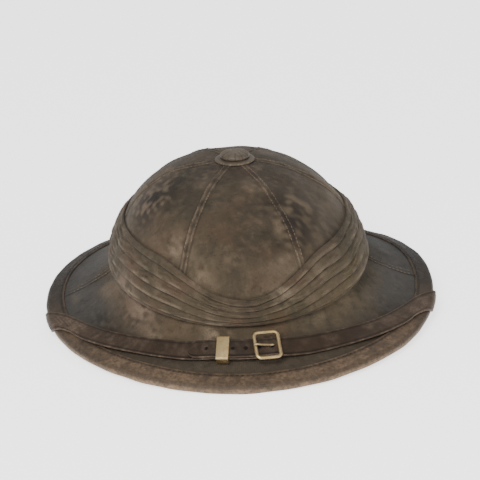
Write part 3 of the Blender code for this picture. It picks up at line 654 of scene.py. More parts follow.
goreSizes = dict(
    count=6, firstSeam=pi / 6, seamWidth=0.0066, seamRise=0.0005, tapeSoft=0.0008, groove=0.0012, grooveDepth=0.9,
    columnsNear=20, columnsBetween=40, nearAngle=0.056,
    rowsDome=110, rowsFillet=16, rowsBrim=46, rowsEdge=9, rowsUnderBrim=16, rowsInnerTurn=10, rowsInside=60,
    dent=0.0011, pucker=0.00022, puckerReach=0.004, tapeEdgeShade=0.0009,
    stitchInset=0.0009, stitchFrom=0.0165, stitchLength=0.0020, stitchPitch=0.0031, stitchRadius=0.00024,
    stitchBow=0.00004,
)


def goreAzimuths():
    # close together beside each seam and wider apart between them
    s = goreSizes
    pitch = 2 * pi / s["count"]
    near = np.linspace(-s["nearAngle"], s["nearAngle"], s["columnsNear"], endpoint=False)
    between = np.linspace(s["nearAngle"], pitch - s["nearAngle"], s["columnsBetween"], endpoint=False)
    one = np.concatenate([near, between])
    return np.concatenate([one + s["firstSeam"] + k * pitch for k in range(s["count"])])


def seamDistance(azimuth, points, seams):
    # length round the shell to the nearest seam = angle to it * distance from the crown's axis
    off = np.abs(turnFrom(azimuth[..., None], seams)).min(-1)
    return off * np.hypot(points[..., 0], points[..., 1] - axisY)


def shellRelief(azimuth, position):
    # the outer surface with its seam tapes, stitched grooves, puckers and dents, and the fields that go with them
    s = goreSizes
    outside = outerSurface(azimuth, position)
    goreSeams = s["firstSeam"] + np.arange(s["count"]) * 2 * pi / s["count"]
    onCrown, onBrim = (seamDistance(azimuth, outside, seams) for seams in (goreSeams, np.array([pi / 2, -pi / 2])))
    nearSeam = np.where(position < 1.5, onCrown, onBrim)
    fromTape = nearSeam - s["seamWidth"] / 2
    flat = 1 - smoothStep(fromTape, -s["tapeSoft"], 0)
    groove = np.exp(-(nearSeam / s["groove"]) ** 2)
    puckers = np.exp(-(fromTape / s["puckerReach"]) ** 2) * roughWaves(5, outside, [0.006, 0.004]) * s["pucker"]
    awayFromRims = smoothStep(position, 0.02, 0.12) * (1 - smoothStep(position, 2.55, 2.75))
    underBand = smoothStep(bandTop(azimuth) + floorLift - outside[..., 2], -0.004, 0.002)
    underBand = underBand * (1 - smoothStep(position, 1.0, 1.4))
    dents = roughWaves(11, outside, [0.10, 0.055, 0.03]) * s["dent"] * awayFromRims
    dents = dents * (1 - 0.8 * underBand) * (1 - 0.4 * smoothStep(position, 1.0, 1.5))
    raised = s["seamRise"] * (flat - s["grooveDepth"] * groove)
    raised = raised * smoothStep(position, 0.01, 0.05) * (1 - smoothStep(position, 2.7, 2.8))
    points = outside + surfaceNormal(azimuth, position) * (dents + raised + puckers)[..., None]
    onDome = 1 - smoothStep(position, 0.97, 1.0)
    wear = 0.45 * flat * onDome * patches(21, outside, [0.02, 0.009], -0.6, 0.6)
    wear = wear + 0.30 * smoothStep(dents, 0.0002, 0.0009)
    # painted shade: darker in the stitched groove down each seam and along each tape's edges
    grime = 0.6 * groove * onDome + 0.45 * np.exp(-(fromTape / s["tapeEdgeShade"]) ** 2)
    return points, placeFields(azimuth, outside, wear, grime)


def edgeArc(azimuth, angle, radius):
    # a half circle round the brim's edge: middle of its wall + radius * (normal * cosine + outward * sine)
    edge = 3.0 + 0 * azimuth
    out, _ = surfaceTangents(azimuth, edge)
    away = surfaceNormal(azimuth, edge) * np.cos(angle)[..., None] + out * np.sin(angle)[..., None]
    return lifted(azimuth, edge, -shellSizes["wall"] / 2) + away * radius[..., None]


def makeHelmetShell():
    s, wall = goreSizes, shellSizes["wall"]
    azimuths = goreAzimuths()
    rim = positionAtRadius(azimuths, shellSizes["ventHole"])

    def meridians(*legs):
        # positions along each meridian in legs of (start, end, rows), with the dome's first row at the hole's rim
        rows = [np.linspace(start, end, count, endpoint=leg == len(legs) - 1)
                for leg, (start, end, count) in enumerate(legs)]
        azimuth, position = grid(azimuths, np.concatenate(rows))
        return azimuth, np.where(position < 1, rim + (1 - rim) * position, position)

    azimuth, position = meridians((0, 1, s["rowsDome"]), (1, 2, s["rowsFillet"]), (2, 3, s["rowsBrim"]))
    outside, outerFields = shellRelief(azimuth, position)
    edgeAzimuth, angle = grid(azimuths, np.linspace(0, pi, s["rowsEdge"] + 2)[1:-1])
    rounded = edgeArc(edgeAzimuth, angle, np.full(angle.shape, wall / 2))
    inAzimuth, inPosition = meridians((3, 2, s["rowsUnderBrim"]), (2, 1, s["rowsInnerTurn"]), (1, 0, s["rowsInside"]))
    inside = lifted(inAzimuth, inPosition, -wall)
    hole = onPlan(azimuths, shellSizes["ventHole"], shellSizes["ventHole"], 0.0)
    inside[-1, :, :2] = outside[0, :, :2] = hole[:, :2]

    points = np.concatenate([outside, rounded, inside])
    top, turned = len(outside), len(outside) + len(rounded)
    around = np.append(azimuths, azimuths[0] + 2 * pi) * (shellSizes["crownFront"] + brimSide) / 2
    fields = {key: np.zeros(points.shape[:2]) for key in (*outerFields, "brim", "underBrim", "crownLining")}
    for key, values in outerFields.items():
        fields[key][:top] = values
    # the brim painted darker from the fillet out, partly as painted shade
    fields["brim"][:top], fields["brim"][top:turned] = smoothStep(position, 1.9, 2.45), 1
    # the brim's sides and back greyed where they face away from the front: partly dust and partly painted sheen
    facing = np.cos(azimuths) + 0.12 * roughWaves(25, outside[-20], [0.05, 0.02])
    fields["dustAndSheen"] = fields["brim"] * (1 - smoothStep(facing, 0.30, 0.66))
    fields["underBrim"][turned:] = smoothStep(inPosition, 1.35, 1.45)
    fields["crownLining"][turned:] = 1 - fields["underBrim"][turned:]
    return surfacePiece("helmetShell", points, True, True, loopPlace(points, around), fields)


dress(makeHelmetShell(), ["shell"], shellCloth)


# The wound band: folds of cloth that climb from the front to the back and cross in front

def foldHeight(phase):
    # each fold rises at once from its lower edge and then slopes back under the next one
    t = phase - np.floor(phase)
    lap = bandSizes["lap"]
    rise = np.sqrt(np.clip(t / lap, 0, 1) * (2 - np.clip(t / lap, 0, 1)))
    slope = 1 - 0.8 * np.clip((t - lap) / (1 - lap), 0, 1) ** 1.3
    return rise * slope


def makeWoundBand():
    s = bandSizes
    azimuths = np.linspace(-pi, pi, s["columns"], endpoint=False)
    azimuth, share = grid(azimuths, np.linspace(1, 0, s["rows"]))
    foot = seamHeight(azimuth) + s["foot"]
    position = positionAt(azimuth, foot + (bandTop(azimuth) - foot) * share + floorLift)
    base = outerSurface(azimuth, position)
    sag = roughWaves(31, base, [0.09, 0.05]) * s["sag"]
    # each side's folds run a little past the middle of the front, and every other one lies on top
    left, right = (s["folds"] * share + way * s["lean"] * azimuth / pi + sag for way in (-1, 1))
    leftShown, rightShown = (smoothStep(way * azimuth, -s["crossing"], -0.35 * s["crossing"]) for way in (1, -1))
    leftHeight, rightHeight = foldHeight(left) * leftShown, foldHeight(right) * rightShown
    over = s["over"] * np.minimum(leftShown, rightShown)
    leftOver, rightOver = np.floor(left) % 2 * over, (np.floor(right) + 1) % 2 * over
    ridge = np.maximum(leftHeight + leftOver * (leftHeight > 0.1), rightHeight + rightOver * (rightHeight > 0.1))
    phase = np.where(leftHeight + leftOver >= rightHeight + rightOver, left, right)
    rim = np.minimum(share, 1 - share) * s["folds"]
    core = (s["coreFoot"] + (s["coreTop"] - s["coreFoot"]) * share) * np.sqrt(np.minimum(1.0, 0.45 + rim))
    creases = phase * 2 * pi * s["height"] / s["folds"] / s["creasePitch"]
    fine = np.sin(creases + 3 * roughWaves(41, base, [0.03, 0.014])) * patches(43, base, [0.024, 0.012], -0.5, 0.7)
    thick = core + s["fold"] * ridge * np.minimum(1.0, 0.35 + rim)
    thick = thick + s["crease"] * fine * np.minimum(1.0, 0.3 + rim) + s["wave"] * roughWaves(47, base, [0.035, 0.02])
    outside = base + surfaceNormal(azimuth, position) * (gap + np.maximum(thick, s["leastThick"]))[..., None]
    inAzimuth, inShare = grid(azimuths, np.linspace(0, 1, s["rowsInside"] + 1))
    inHeight = foot[:1] + (bandTop(inAzimuth) - foot[:1]) * inShare
    inside = lifted(inAzimuth, positionAt(inAzimuth, inHeight + floorLift), gap)
    points = np.concatenate([outside, inside])
    t = phase - np.floor(phase)
    # painted shade in the crease where each fold meets the next
    grime = 0.85 * np.exp(-(t / 0.05) ** 2) + 0.5 * np.exp(-((1 - t) / 0.10) ** 2)
    wear = 0.6 * np.exp(-((t - 0.20) / 0.15) ** 2) * patches(51, base, [0.09, 0.035, 0.012], -0.3, 0.9)
    place = loopPlace(points, np.append(azimuths, pi) * shellSizes["crownFront"])
    place[..., 1] += s["placeWave"] * np.cos(np.append(azimuths, pi))
    fields = {key: np.concatenate([values, np.zeros(inside.shape[:2])])
              for key, values in placeFields(azimuth, base, wear, grime).items()}
    return surfacePiece("woundBand", points, True, True, place, fields)


dress(makeWoundBand(), ["puggaree"], bandCloth)


# The leather binding of the brim's edge, and its stitches

bindingSizes = dict(width=0.011, wall=0.0013, bead=0.0004, wave=0.00035, columns=540,
                    stitchInset=0.0022, stitchLength=0.0026, stitchPitch=0.0038, stitchRadius=0.00028,
                    stitchBow=0.00025, stitchSink=0.00005, rowWidth=0.0007, rowDepth=0.0003)


def roundEdge(azimuth, pastEdge, lift, turnRadius=None):
    # a point round the brim's edge: on top while pastEdge < 0, then half a turn, then underneath
    azimuth, pastEdge, lift = floats(azimuth, pastEdge, lift)
    wall = shellSizes["wall"]
    radius = wall / 2 + lift
    turnRadius = radius if turnRadius is None else turnRadius + 0 * lift
    halfTurn = pi * turnRadius
    above = lifted(azimuth, positionFromEdge(azimuth, np.maximum(-pastEdge, 0)), lift)
    below = lifted(azimuth, positionFromEdge(azimuth, np.maximum(pastEdge - halfTurn, 0)), -(wall + lift))
    bend = edgeArc(azimuth, np.clip(pastEdge / turnRadius, 0, pi), radius)
    where = pastEdge[..., None]
    return np.where(where <= 0, above, np.where(where >= halfTurn[..., None], below, bend))


def makeBinding():
    # profile: down the outer side from the top leg's end to the lower leg's, and back along the shell
    s = bindingSizes
    azimuths = np.linspace(-pi, pi, s["columns"], endpoint=False)
    halfTurn = pi * (shellSizes["wall"] / 2 + gap)
    outerShare = np.array([0, 0.008, 0.03, 0.08, 0.14, 0.2, 0.28, 0.36, 0.4, 0.44, 0.47, 0.5,
                           0.53, 0.56, 0.6, 0.64, 0.72, 0.8, 0.86, 0.92, 0.97, 0.992, 1])
    innerShare = np.array([1, 0.8, 0.6, 0.5, 0.4, 0.2, 0.0])
    span = 2 * s["width"] + halfTurn
    endDistance = (np.minimum(outerShare, 1 - outerShare) * span)[:, None]
    rounding = np.sqrt(np.clip(1 - (1 - np.clip(endDistance / (s["wall"] * 0.8), 0, 1)) ** 2, 0.04, 1))
    azimuth, past = grid(azimuths, outerShare * span - s["width"])
    angle = np.clip(past / halfTurn, 0, 1) * pi

    def outerFace(thick):
        # the outer face turns on a larger radius, so its lengths past the edge are scaled in the turn
        outerTurn = pi * (shellSizes["wall"] / 2 + gap + thick)
        turned = np.where(past >= halfTurn, past - halfTurn + outerTurn, past / halfTurn * outerTurn)
        return roundEdge(azimuth, np.where(past <= 0, past, turned), gap + thick)

    thick = s["wall"] * rounding + s["bead"] * np.sin(angle) ** 2
    uneven = roughWaves(61, outerFace(thick), [0.05, 0.024]) * s["wave"] * np.minimum(endDistance / 0.003, 1)
    row = np.exp(-((endDistance - s["stitchInset"]) / s["rowWidth"]) ** 2)
    outside = outerFace(thick - s["rowDepth"] * row + np.maximum(uneven, -s["rowDepth"]))
    inside = roundEdge(*grid(azimuths, innerShare * span - s["width"]), gap)
    points = np.concatenate([outside, inside])
    points[..., 2] = np.maximum(points[..., 2], 0)
    around = walkedLength(outside[9:10], 1)[0]
    place = loopPlace(points, np.append(around, around[-1] + around[1]))
    rubbed = patches(63, outside, [0.06, 0.02, 0.008], -0.7, 0.5)
    inFront = smoothStep(np.cos(azimuth), -0.15, 0.75)
    outerEdge = smoothStep(angle, 0.5, 1.5) * (0.25 + 0.35 * rubbed + 0.4 * inFront)
    tops = 0.5 * rubbed * np.exp(-(endDistance / 0.0009) ** 2)
    handled = 0.30 * inFront * (1 + rubbed * (angle < 0.01))
    none = np.zeros(inside.shape[:2])
    wear = np.concatenate([np.maximum(np.maximum(outerEdge, tops), handled), none])
    # painted shade in the pressed row that holds the stitches
    grime = np.concatenate([0.6 * row + 0 * azimuth, none])
    return surfacePiece("edgeBinding", points, True, True, place, dict(wear=wear, grime=grime))


def threadPiece(name, starts, ends, offs, radius, sag):
    # stitches in one mesh: each is a tube of 5 rings round an arc from its start to its end, bowed away by offs
    ringShare = np.array([0.0, 0.12, 0.5, 0.88, 1.0])
    ringSize = np.array([0.25, 0.85, 1.0, 0.85, 0.25])
    bow = np.sin(pi * ringShare)
    sides = 6
    turn = np.arange(sides) * 2 * pi / sides
    along = unit(ends - starts)
    across = unit(np.cross(along, offs))
    lifts = unit(np.cross(across, along))
    centres = starts[:, None] + (ends - starts)[:, None] * ringShare[None, :, None]
    centres = centres + lifts[:, None] * (sag * bow)[None, :, None]
    circle = across[:, None] * np.cos(turn)[None, :, None] + lifts[:, None] * np.sin(turn)[None, :, None]
    points = centres[:, :, None] + circle[:, None] * (radius * ringSize)[None, :, None, None]
    count, rings = len(starts), len(ringShare)
    base = (np.arange(count) * rings * sides)[:, None, None]
    r, c = np.arange(rings - 1)[:, None], np.arange(sides)[None, :]
    quads = np.stack([r * sides + c, r * sides + (c + 1) % sides, (r + 1) * sides + (c + 1) % sides,
                      (r + 1) * sides + c], -1).reshape(-1, 4)
    caps = np.array([np.arange(sides)[::-1], (rings - 1) * sides + np.arange(sides)])
    faces = [tuple(f) for f in (quads[None] + base).reshape(-1, 4).tolist()]
    faces += [tuple(f) for f in (caps[None] + base).reshape(-1, sides).tolist()]
    return newPiece(name, points, faces)


def stitchAlong(line, sizes, spread):
    # starts and ends of stitches at even steps, spread over the whole line or at their own pitch
    walked = walkedLength(line[None], 1)[0]
    count = int(walked[-1] / sizes["stitchPitch"])
    at = np.arange(count) * (walked[-1] / count if spread else sizes["stitchPitch"])
    return pick(line, walked, at), pick(line, walked, at + sizes["stitchLength"]), at, walked


def bindingStitches(above):
    # stitches round the edge, this far in from the leather's own edge
    s = bindingSizes
    fine = np.linspace(-pi, pi, 2161)
    lift = gap + s["wall"] - s["stitchSink"]
    inset = s["width"] - s["stitchInset"]
    past = -inset if above else inset + pi * (shellSizes["wall"] / 2 + lift)
    starts, ends, at, walked = stitchAlong(roundEdge(fine, past, lift), s, True)
    azimuth = np.interp(at, walked, fine)
    off = surfaceNormal(azimuth, positionFromEdge(azimuth, inset + 0 * azimuth)) * (1 if above else -1)
    name = "bindingStitchesTop" if above else "bindingStitchesUnder"
    return threadPiece(name, starts, ends, off, s["stitchRadius"], s["stitchBow"])


def seamStitches():
    # two rows on each gore seam from the ventilator to the band, and two on each side seam of the brim
    s = goreSizes
    runs = []
    for middle in s["firstSeam"] + np.arange(s["count"]) * 2 * pi / s["count"]:
        first = float(positionAtRadius(np.array([middle]), s["stitchFrom"])[0])
        runs.append((middle, first, float(positionAt(middle, float(bandTop(middle)) + floorLift + 0.001))))
    runs += [(middle, 2.02, 2.72) for middle in (-pi / 2, pi / 2)]
    rows = []
    for middle, first, last in runs:
        for side in (-1, 1):
            position = np.linspace(first, last, 500)
            plan = outerSurface(middle, position)
            aside = side * (s["seamWidth"] / 2 - s["stitchInset"])
            azimuth = middle + aside / np.hypot(plan[:, 0], plan[:, 1] - axisY)
            starts, ends, at, walked = stitchAlong(shellRelief(azimuth, position)[0], s, False)
            off = surfaceNormal(np.interp(at, walked, azimuth), np.interp(at, walked, position))
            rows.append((starts, ends, off))
    starts, ends, offs = (np.concatenate(part) for part in zip(*rows))
    return threadPiece("seamStitches", starts, ends, offs, s["stitchRadius"], s["stitchBow"])


dress(seamStitches(), [], paleThread)
dress(makeBinding(), ["brim_binding"], bindingLeather)
for above in (True, False):
    dress(bindingStitches(above), [], darkThread)


# The ventilator: a fluted button over a flange, both pressed and painted

ventSizes = dict(sleeveWall=0.0015, flangeRadius=0.0150, flangeWall=0.0014, capRadius=0.0110, capHeight=0.0052,
                 capLip=0.0016, depth=0.0016, pleats=12, pleatDepth=0.00028, columns=96, axisRadius=0.0002)
sleeveOuter = shellSizes["ventHole"] - gap
sleeveInner = sleeveOuter - ventSizes["sleeveWall"]
sleeveFoot = shellSizes["domeTop"] - shellSizes["wall"] - ventSizes["depth"]
flangeTop = shellSizes["domeTop"] + gap + ventSizes["flangeWall"]


def lathePiece(name, profile, ripple=None, **fields):
    # profile of (radius, height) turned about the crown's axis; it runs down its outer side
    radius, height = np.array(profile).T
    turn = np.linspace(0, 2 * pi, ventSizes["columns"], endpoint=False)
    turns, radii = grid(turn, radius)
    heights = np.broadcast_to(height[:, None], radii.shape)
    if ripple is not None:
        heights = heights + ripple(radii, turns, heights)
    points = onPlan(turns, radii, radii, heights)
    length = walkedLength(points, 0)[:, :1]
    place = np.stack(np.broadcast_arrays(np.append(turn, 2 * pi)[None, :] * radius.max() * 0.7, length), -1)
    made = {key: make(radii, turns, heights) for key, make in fields.items()}
    return surfacePiece(name, points, False, True, place, made, caps=True)


def makeVentCap():
    # a low dome gathered to its middle, over a stem; height = shoulder + crown * cosine of the bow's angle
    s = ventSizes
    seat = flangeTop + gap
    shoulder, crown = seat + s["capLip"], s["capHeight"] - s["capLip"]
    rim, stem = s["capRadius"], sleeveInner - gap
    profile = [(s["axisRadius"], shoulder + crown)]
    profile += [(rim * np.sin(a), shoulder + crown * np.cos(a)) for a in np.linspace(0.02, pi / 2, 22)]
    profile += [(rim, seat + 0.0005), (rim - 0.0003, seat + 0.0001), (rim - 0.0008, seat)]
    profile += [(stem, seat), (stem, sleeveFoot), (s["axisRadius"], sleeveFoot)]

    def ripple(radii, turns, heights):
        outer = smoothStep(radii, 0.002, 0.008) * (heights > shoulder - 1e-6)
        return s["pleatDepth"] * outer * (np.abs(np.sin(s["pleats"] * turns / 2)) ** 0.5 - 1)

    def creases(radii, turns, heights):
        # painted shade in the pleats' creases
        return 0.7 * np.exp(-(np.sin(s["pleats"] * turns / 2) / 0.16) ** 2) * smoothStep(radii, 0.002, 0.006)

    def rubbed(radii, turns, heights):
        return 0.30 * smoothStep(heights, shoulder, shoulder + crown)

    return lathePiece("ventButton", profile, ripple, wear=rubbed, grime=creases)


def makeVentCollar():
    # a flat flange that follows the dome, with a sleeve down through the shell
    s = ventSizes
    outer, wall = s["flangeRadius"], s["flangeWall"]

    def underFlange(radius):
        slope = np.arcsin(radius / shellSizes["crownBack"])
        return float(domePoint(np.array(pi), slope)[2]) - floorLift + gap

    def rubbed(radii, turns, heights):
        return 0.4 * smoothStep(radii, 0.0128, 0.0146)

    def shadeAtCapRim(radii, turns, heights):
        # painted shade in a thin ring on the flange just outside the button's rim
        return 0.5 * np.exp(-((radii - 0.0118) / 0.0006) ** 2)

    rim = underFlange(outer)
    profile = [(sleeveInner, sleeveFoot), (sleeveInner, flangeTop - 0.0002), (sleeveInner + 0.0002, flangeTop)]
    profile += [(s["capRadius"], flangeTop), (s["capRadius"] + 0.0012, flangeTop - 0.0001)]
    profile += [(outer - 0.0012, rim + wall * 0.95), (outer - 0.0004, rim + wall * 0.8), (outer, rim + wall * 0.4)]
    profile += [(outer - 0.0001, rim)]
    profile += [(radius, underFlange(radius)) for radius in np.linspace(outer - 0.0004, sleeveOuter, 6)]
    profile += [(sleeveOuter, sleeveFoot), (sleeveInner, sleeveFoot)]
    return lathePiece("ventFlange", profile, wear=rubbed, grime=shadeAtCapRim)


dress(makeVentCap(), ["vent_cap"], ventPaint)
dress(makeVentCollar(), ["vent_collar"], ventPaint)


# The head ring: a leather strip on eight cork blocks

headSizes = dict(width=0.160, length=0.202, wall=0.0018, foot=0.026, height=0.030, columns=480, bulge=0.0009,
                 hem=0.0009, hemAt=0.0011, hemReach=0.0010, edgeRound=0.0009, soft=0.00035, grain=0.00008,
                 rowWidth=0.0006, rowDepth=0.00022, stitchBow=0.0002,
                 stitchInset=0.0032, stitchLength=0.0030, stitchPitch=0.0048, stitchRadius=0.0003,
                 blockSeat=0.0022, blockFoot=0.033, blockHeight=0.018, blockTurn=2 * pi / facets, blocks=8,
                 blockGap=0.0004, blockBevel=0.0006)


def headPoint(azimuth, share, out):
    # a point of the strip: share runs up it, and out is measured outwards from its inner face
    s = headSizes
    reachX, reachY = s["width"] / 2 + out, s["length"] / 2 + out
    return onPlan(azimuth, reachX, reachY, s["foot"] + s["height"] * share)


def makeHeadRing():
    # a soft strip that bellies between its hems, with a thicker hem at its foot
    s = headSizes
    azimuths = np.linspace(-pi, pi, s["columns"], endpoint=False)
    up = np.array([0.0, 0.006, 0.02, 0.05, 0.085, 0.12, 0.17, 0.25, 0.35, 0.45, 0.55, 0.65, 0.75, 0.83, 0.88, 0.92,
                   0.96, 0.985, 0.995, 1.0])
    azimuth, share = grid(azimuths, up)
    ends = np.minimum(share, 1 - share) * s["height"]
    short = s["wall"] / 2 * (1 - np.sqrt(np.clip(1 - (1 - np.clip(ends / s["edgeRound"], 0, 1)) ** 2, 0, 1)))
    belly = s["bulge"] * np.sin(pi * share) ** 0.6
    base = headPoint(azimuth, share, 0.0)
    soft = roughWaves(71, base, [0.06, 0.03]) * s["soft"] + roughWaves(73, base, [0.012, 0.007]) * s["grain"]
    row = np.exp(-((ends - s["stitchInset"]) / s["rowWidth"]) ** 2) * s["rowDepth"]
    hem = s["hem"] * np.exp(-((share * s["height"] - s["hemAt"]) / s["hemReach"]) ** 2)
    pushed = np.sin(pi * share) ** 0.5 * soft
    inner = headPoint(azimuth, share, short - belly * 0.3 - hem * 0.5 + row + pushed)
    outer = headPoint(azimuth, share, s["wall"] - short)
    points = np.concatenate([inner, outer[::-1]])
    place = loopPlace(points, np.append(azimuths, pi) * s["length"] / 2)
    rubbed = patches(75, base, [0.07, 0.03, 0.012], -0.4, 0.8)
    wear = rubbed * (0.75 * np.exp(-(share / 0.08) ** 2) + 0.3 * np.exp(-((1 - share) / 0.04) ** 2) + 0.15)
    darkening = 0.55 * np.exp(-((share - 0.5) / 0.3) ** 2) * patches(77, base, [0.08, 0.03], -0.7, 0.7)
    none = np.zeros(outer.shape[:2])
    return surfacePiece("headRing", points, True, True, place,
                        dict(wear=np.concatenate([wear, none]), grime=np.concatenate([darkening, none])))


def headStitches():
    s = headSizes
    line = headPoint(np.linspace(-pi, pi, 1441), 1 - s["stitchInset"] / s["height"], 0.0)
    starts, ends, _, _ = stitchAlong(line, s, True)
    inward = (np.array([0, axisY, 0]) - starts) * (1, 1, 0)
    return threadPiece("headRingStitches", starts, ends, unit(inward), s["stitchRadius"], s["stitchBow"])


def makeCorkBlock(number):
    # a block between the strip and the shell: a grid round its four sides, closed at both ends
    s = headSizes
    middle = 2 * pi * (number + 0.5) / s["blocks"]
    spread = np.linspace(-1, 1, 13)
    cut = (1 - 0.04 * np.abs(spread) ** 8)[None, :, None]
    azimuth, share = grid(middle + spread * s["blockTurn"] * 0.97, np.linspace(0.02, 0.98, 9))
    z = s["blockFoot"] + s["blockHeight"] * share
    near = onPlan(azimuth, s["width"] / 2 + s["blockSeat"], s["length"] / 2 + s["blockSeat"], z)
    through = -(shellSizes["wall"] + gap + s["blockGap"])
    far = lifted(azimuth, positionAt(azimuth, z + floorLift, through), through)
    centre = (near + far) / 2
    near, far = centre + (near - centre) * cut, centre + (far - centre) * cut
    loops = np.concatenate([far, near[:, ::-1]], axis=1)[::-1]
    piece = surfacePiece(f"corkBlock{number + 1}", loops, False, True, caps=True)
    bevel = piece.modifiers.new("softEdges", "BEVEL")
    bevel.width, bevel.segments, bevel.limit_method, bevel.angle_limit = s["blockBevel"], 2, "ANGLE", np.radians(40)
    return piece


dress(makeHeadRing(), ["sweatband"], headLeather)
dress(headStitches(), [], paleThread)
for number in range(headSizes["blocks"]):
    dress(makeCorkBlock(number), [f"cork_spacer_{number + 1}"], cork)


# The chin strap: from a screw inside one side, over the edge, round the front of the brim and back inside

strapSizes = dict(
    width=0.016, tailWidth=0.0154, wall=0.0018, frontLift=0.0028, liftAngle=np.radians(24), ramp=0.008,
    rampLead=0.004,
    twistStart=0.004, twistEnd=0.013, tailStart=np.radians(12), tailEnd=np.radians(-21),
    buckleAt=np.radians(7), keeperAt=np.radians(-8.5), ease=0.0008,
    stations=520, tailStations=120, tailRound=0.02,
    groove=0.0016, grooveWidth=0.0004, grooveDepth=0.00025, edgeRound=0.0008, crown=0.0002,
    crease=0.00012, wave=0.00015, bendAt=-0.003, bendReach=0.017,
)
strapLayers = 2 * strapSizes["wall"] + gap
# azimuth in degrees, and how far the strap has run past the edge as a share of the brim's width there
strapRoute = np.array([
    (0.0, -0.715), (15.0, -0.685), (30.0, -0.592), (45.0, -0.449), (59.0, -0.285), (69.0, -0.133),
    (75.5, 0.05), (81.5, 0.28), (87.0, 0.60), (91.0, 1.00), (93.0, 1.40), (94.0, 1.85),
])
bindingLift = gap + bindingSizes["wall"] + gap
edgeRound = shellSizes["wall"] / 2 + bindingLift
shellChord = shellSizes["crownBack"] * (1 - np.cos(pi / facets))  # the solids' facets lie this far inside the curve


def strapLine(share):
    # a smooth curve through strapRoute: azimuth and length past the edge, for shares from 0 to 1
    last = len(strapRoute) - 1
    placeOn = np.clip(share, 0, 1) * last
    k = np.minimum(placeOn.astype(int), last - 1)
    u = (placeOn - k)[..., None]
    mirrored = strapRoute[1] * np.array([-1, 1])
    before = np.where((k > 0)[..., None], strapRoute[np.maximum(k - 1, 0)], mirrored)
    start, end, after = strapRoute[k], strapRoute[k + 1], strapRoute[np.minimum(k + 2, last)]
    found = 0.5 * (2 * start + (end - before) * u + (2 * before - 5 * start + 4 * end - after) * u**2
                   + (3 * start - 3 * end + after - before) * u**3)
    azimuth = np.radians(found[..., 0])
    frontWidth = shellSizes["brimFront"] - shellSizes["crownFront"]
    backWidth = shellSizes["brimBack"] - shellSizes["crownBack"]
    return azimuth, found[..., 1] * byAzimuth(azimuth, frontWidth, brimSide, backWidth)


def strapLift(azimuth, pastEdge):
    # how far the strap's under side is off the shell: over the binding's wall, and over the keeper's arm in front
    s = strapSizes
    inset = np.where(pastEdge < 0, -pastEdge, np.maximum(pastEdge - pi * edgeRound, 0))
    under = np.where(pastEdge > 0, shellChord, 0)
    overBinding = np.clip((bindingSizes["width"] + s["rampLead"] + s["ramp"] - inset) / s["ramp"], 0, 1)
    offFront = np.minimum(np.abs(azimuth) / s["liftAngle"], 1)
    inFront = np.minimum(2 * np.cos(pi / 2 * offFront) ** 2, 1)
    return gap + under + (bindingLift - gap - under) * overBinding + s["frontLift"] * inFront


def strapPoint(azimuth, pastEdge, extra):
    # the strap's under side, or a point this much above it
    return roundEdge(azimuth, pastEdge, strapLift(azimuth, pastEdge) + extra, edgeRound)


def strapSurface(at, offset, extra):
    # points beside the strap's middle line: at runs from -1 to 1, offset is positive towards the crown
    s = strapSizes
    at, offset, extra = floats(at, offset, extra)
    side, share, fine = np.where(at >= 0, 1, -1), np.abs(at), 1e-3
    azimuth, past = strapLine(share)
    aheadAzimuth, aheadPast = strapLine(np.minimum(share + fine, 1))
    behindAzimuth, behindPast = strapLine(np.maximum(share - fine, 0))
    flat = np.zeros_like(past)
    scale = np.linalg.norm(strapPoint(azimuth + fine, past, flat) - strapPoint(azimuth - fine, past, flat), axis=-1)
    scale = scale / (2 * fine)
    along = unit(np.stack([(aheadAzimuth - behindAzimuth) * scale, aheadPast - behindPast], -1))
    offTurn = np.maximum(np.maximum(-past, past - pi * edgeRound), 0)
    withEdge = np.clip(np.maximum(s["twistEnd"] - offTurn, 0) / (s["twistEnd"] - s["twistStart"]), 0, 1)
    acrossRound = along[..., 1] * (1 - withEdge) + withEdge / np.maximum(along[..., 1], 0.3)
    acrossPast = -along[..., 0] * (1 - withEdge)
    return strapPoint(side * (azimuth + offset * acrossRound / scale), past + offset * acrossPast, extra)


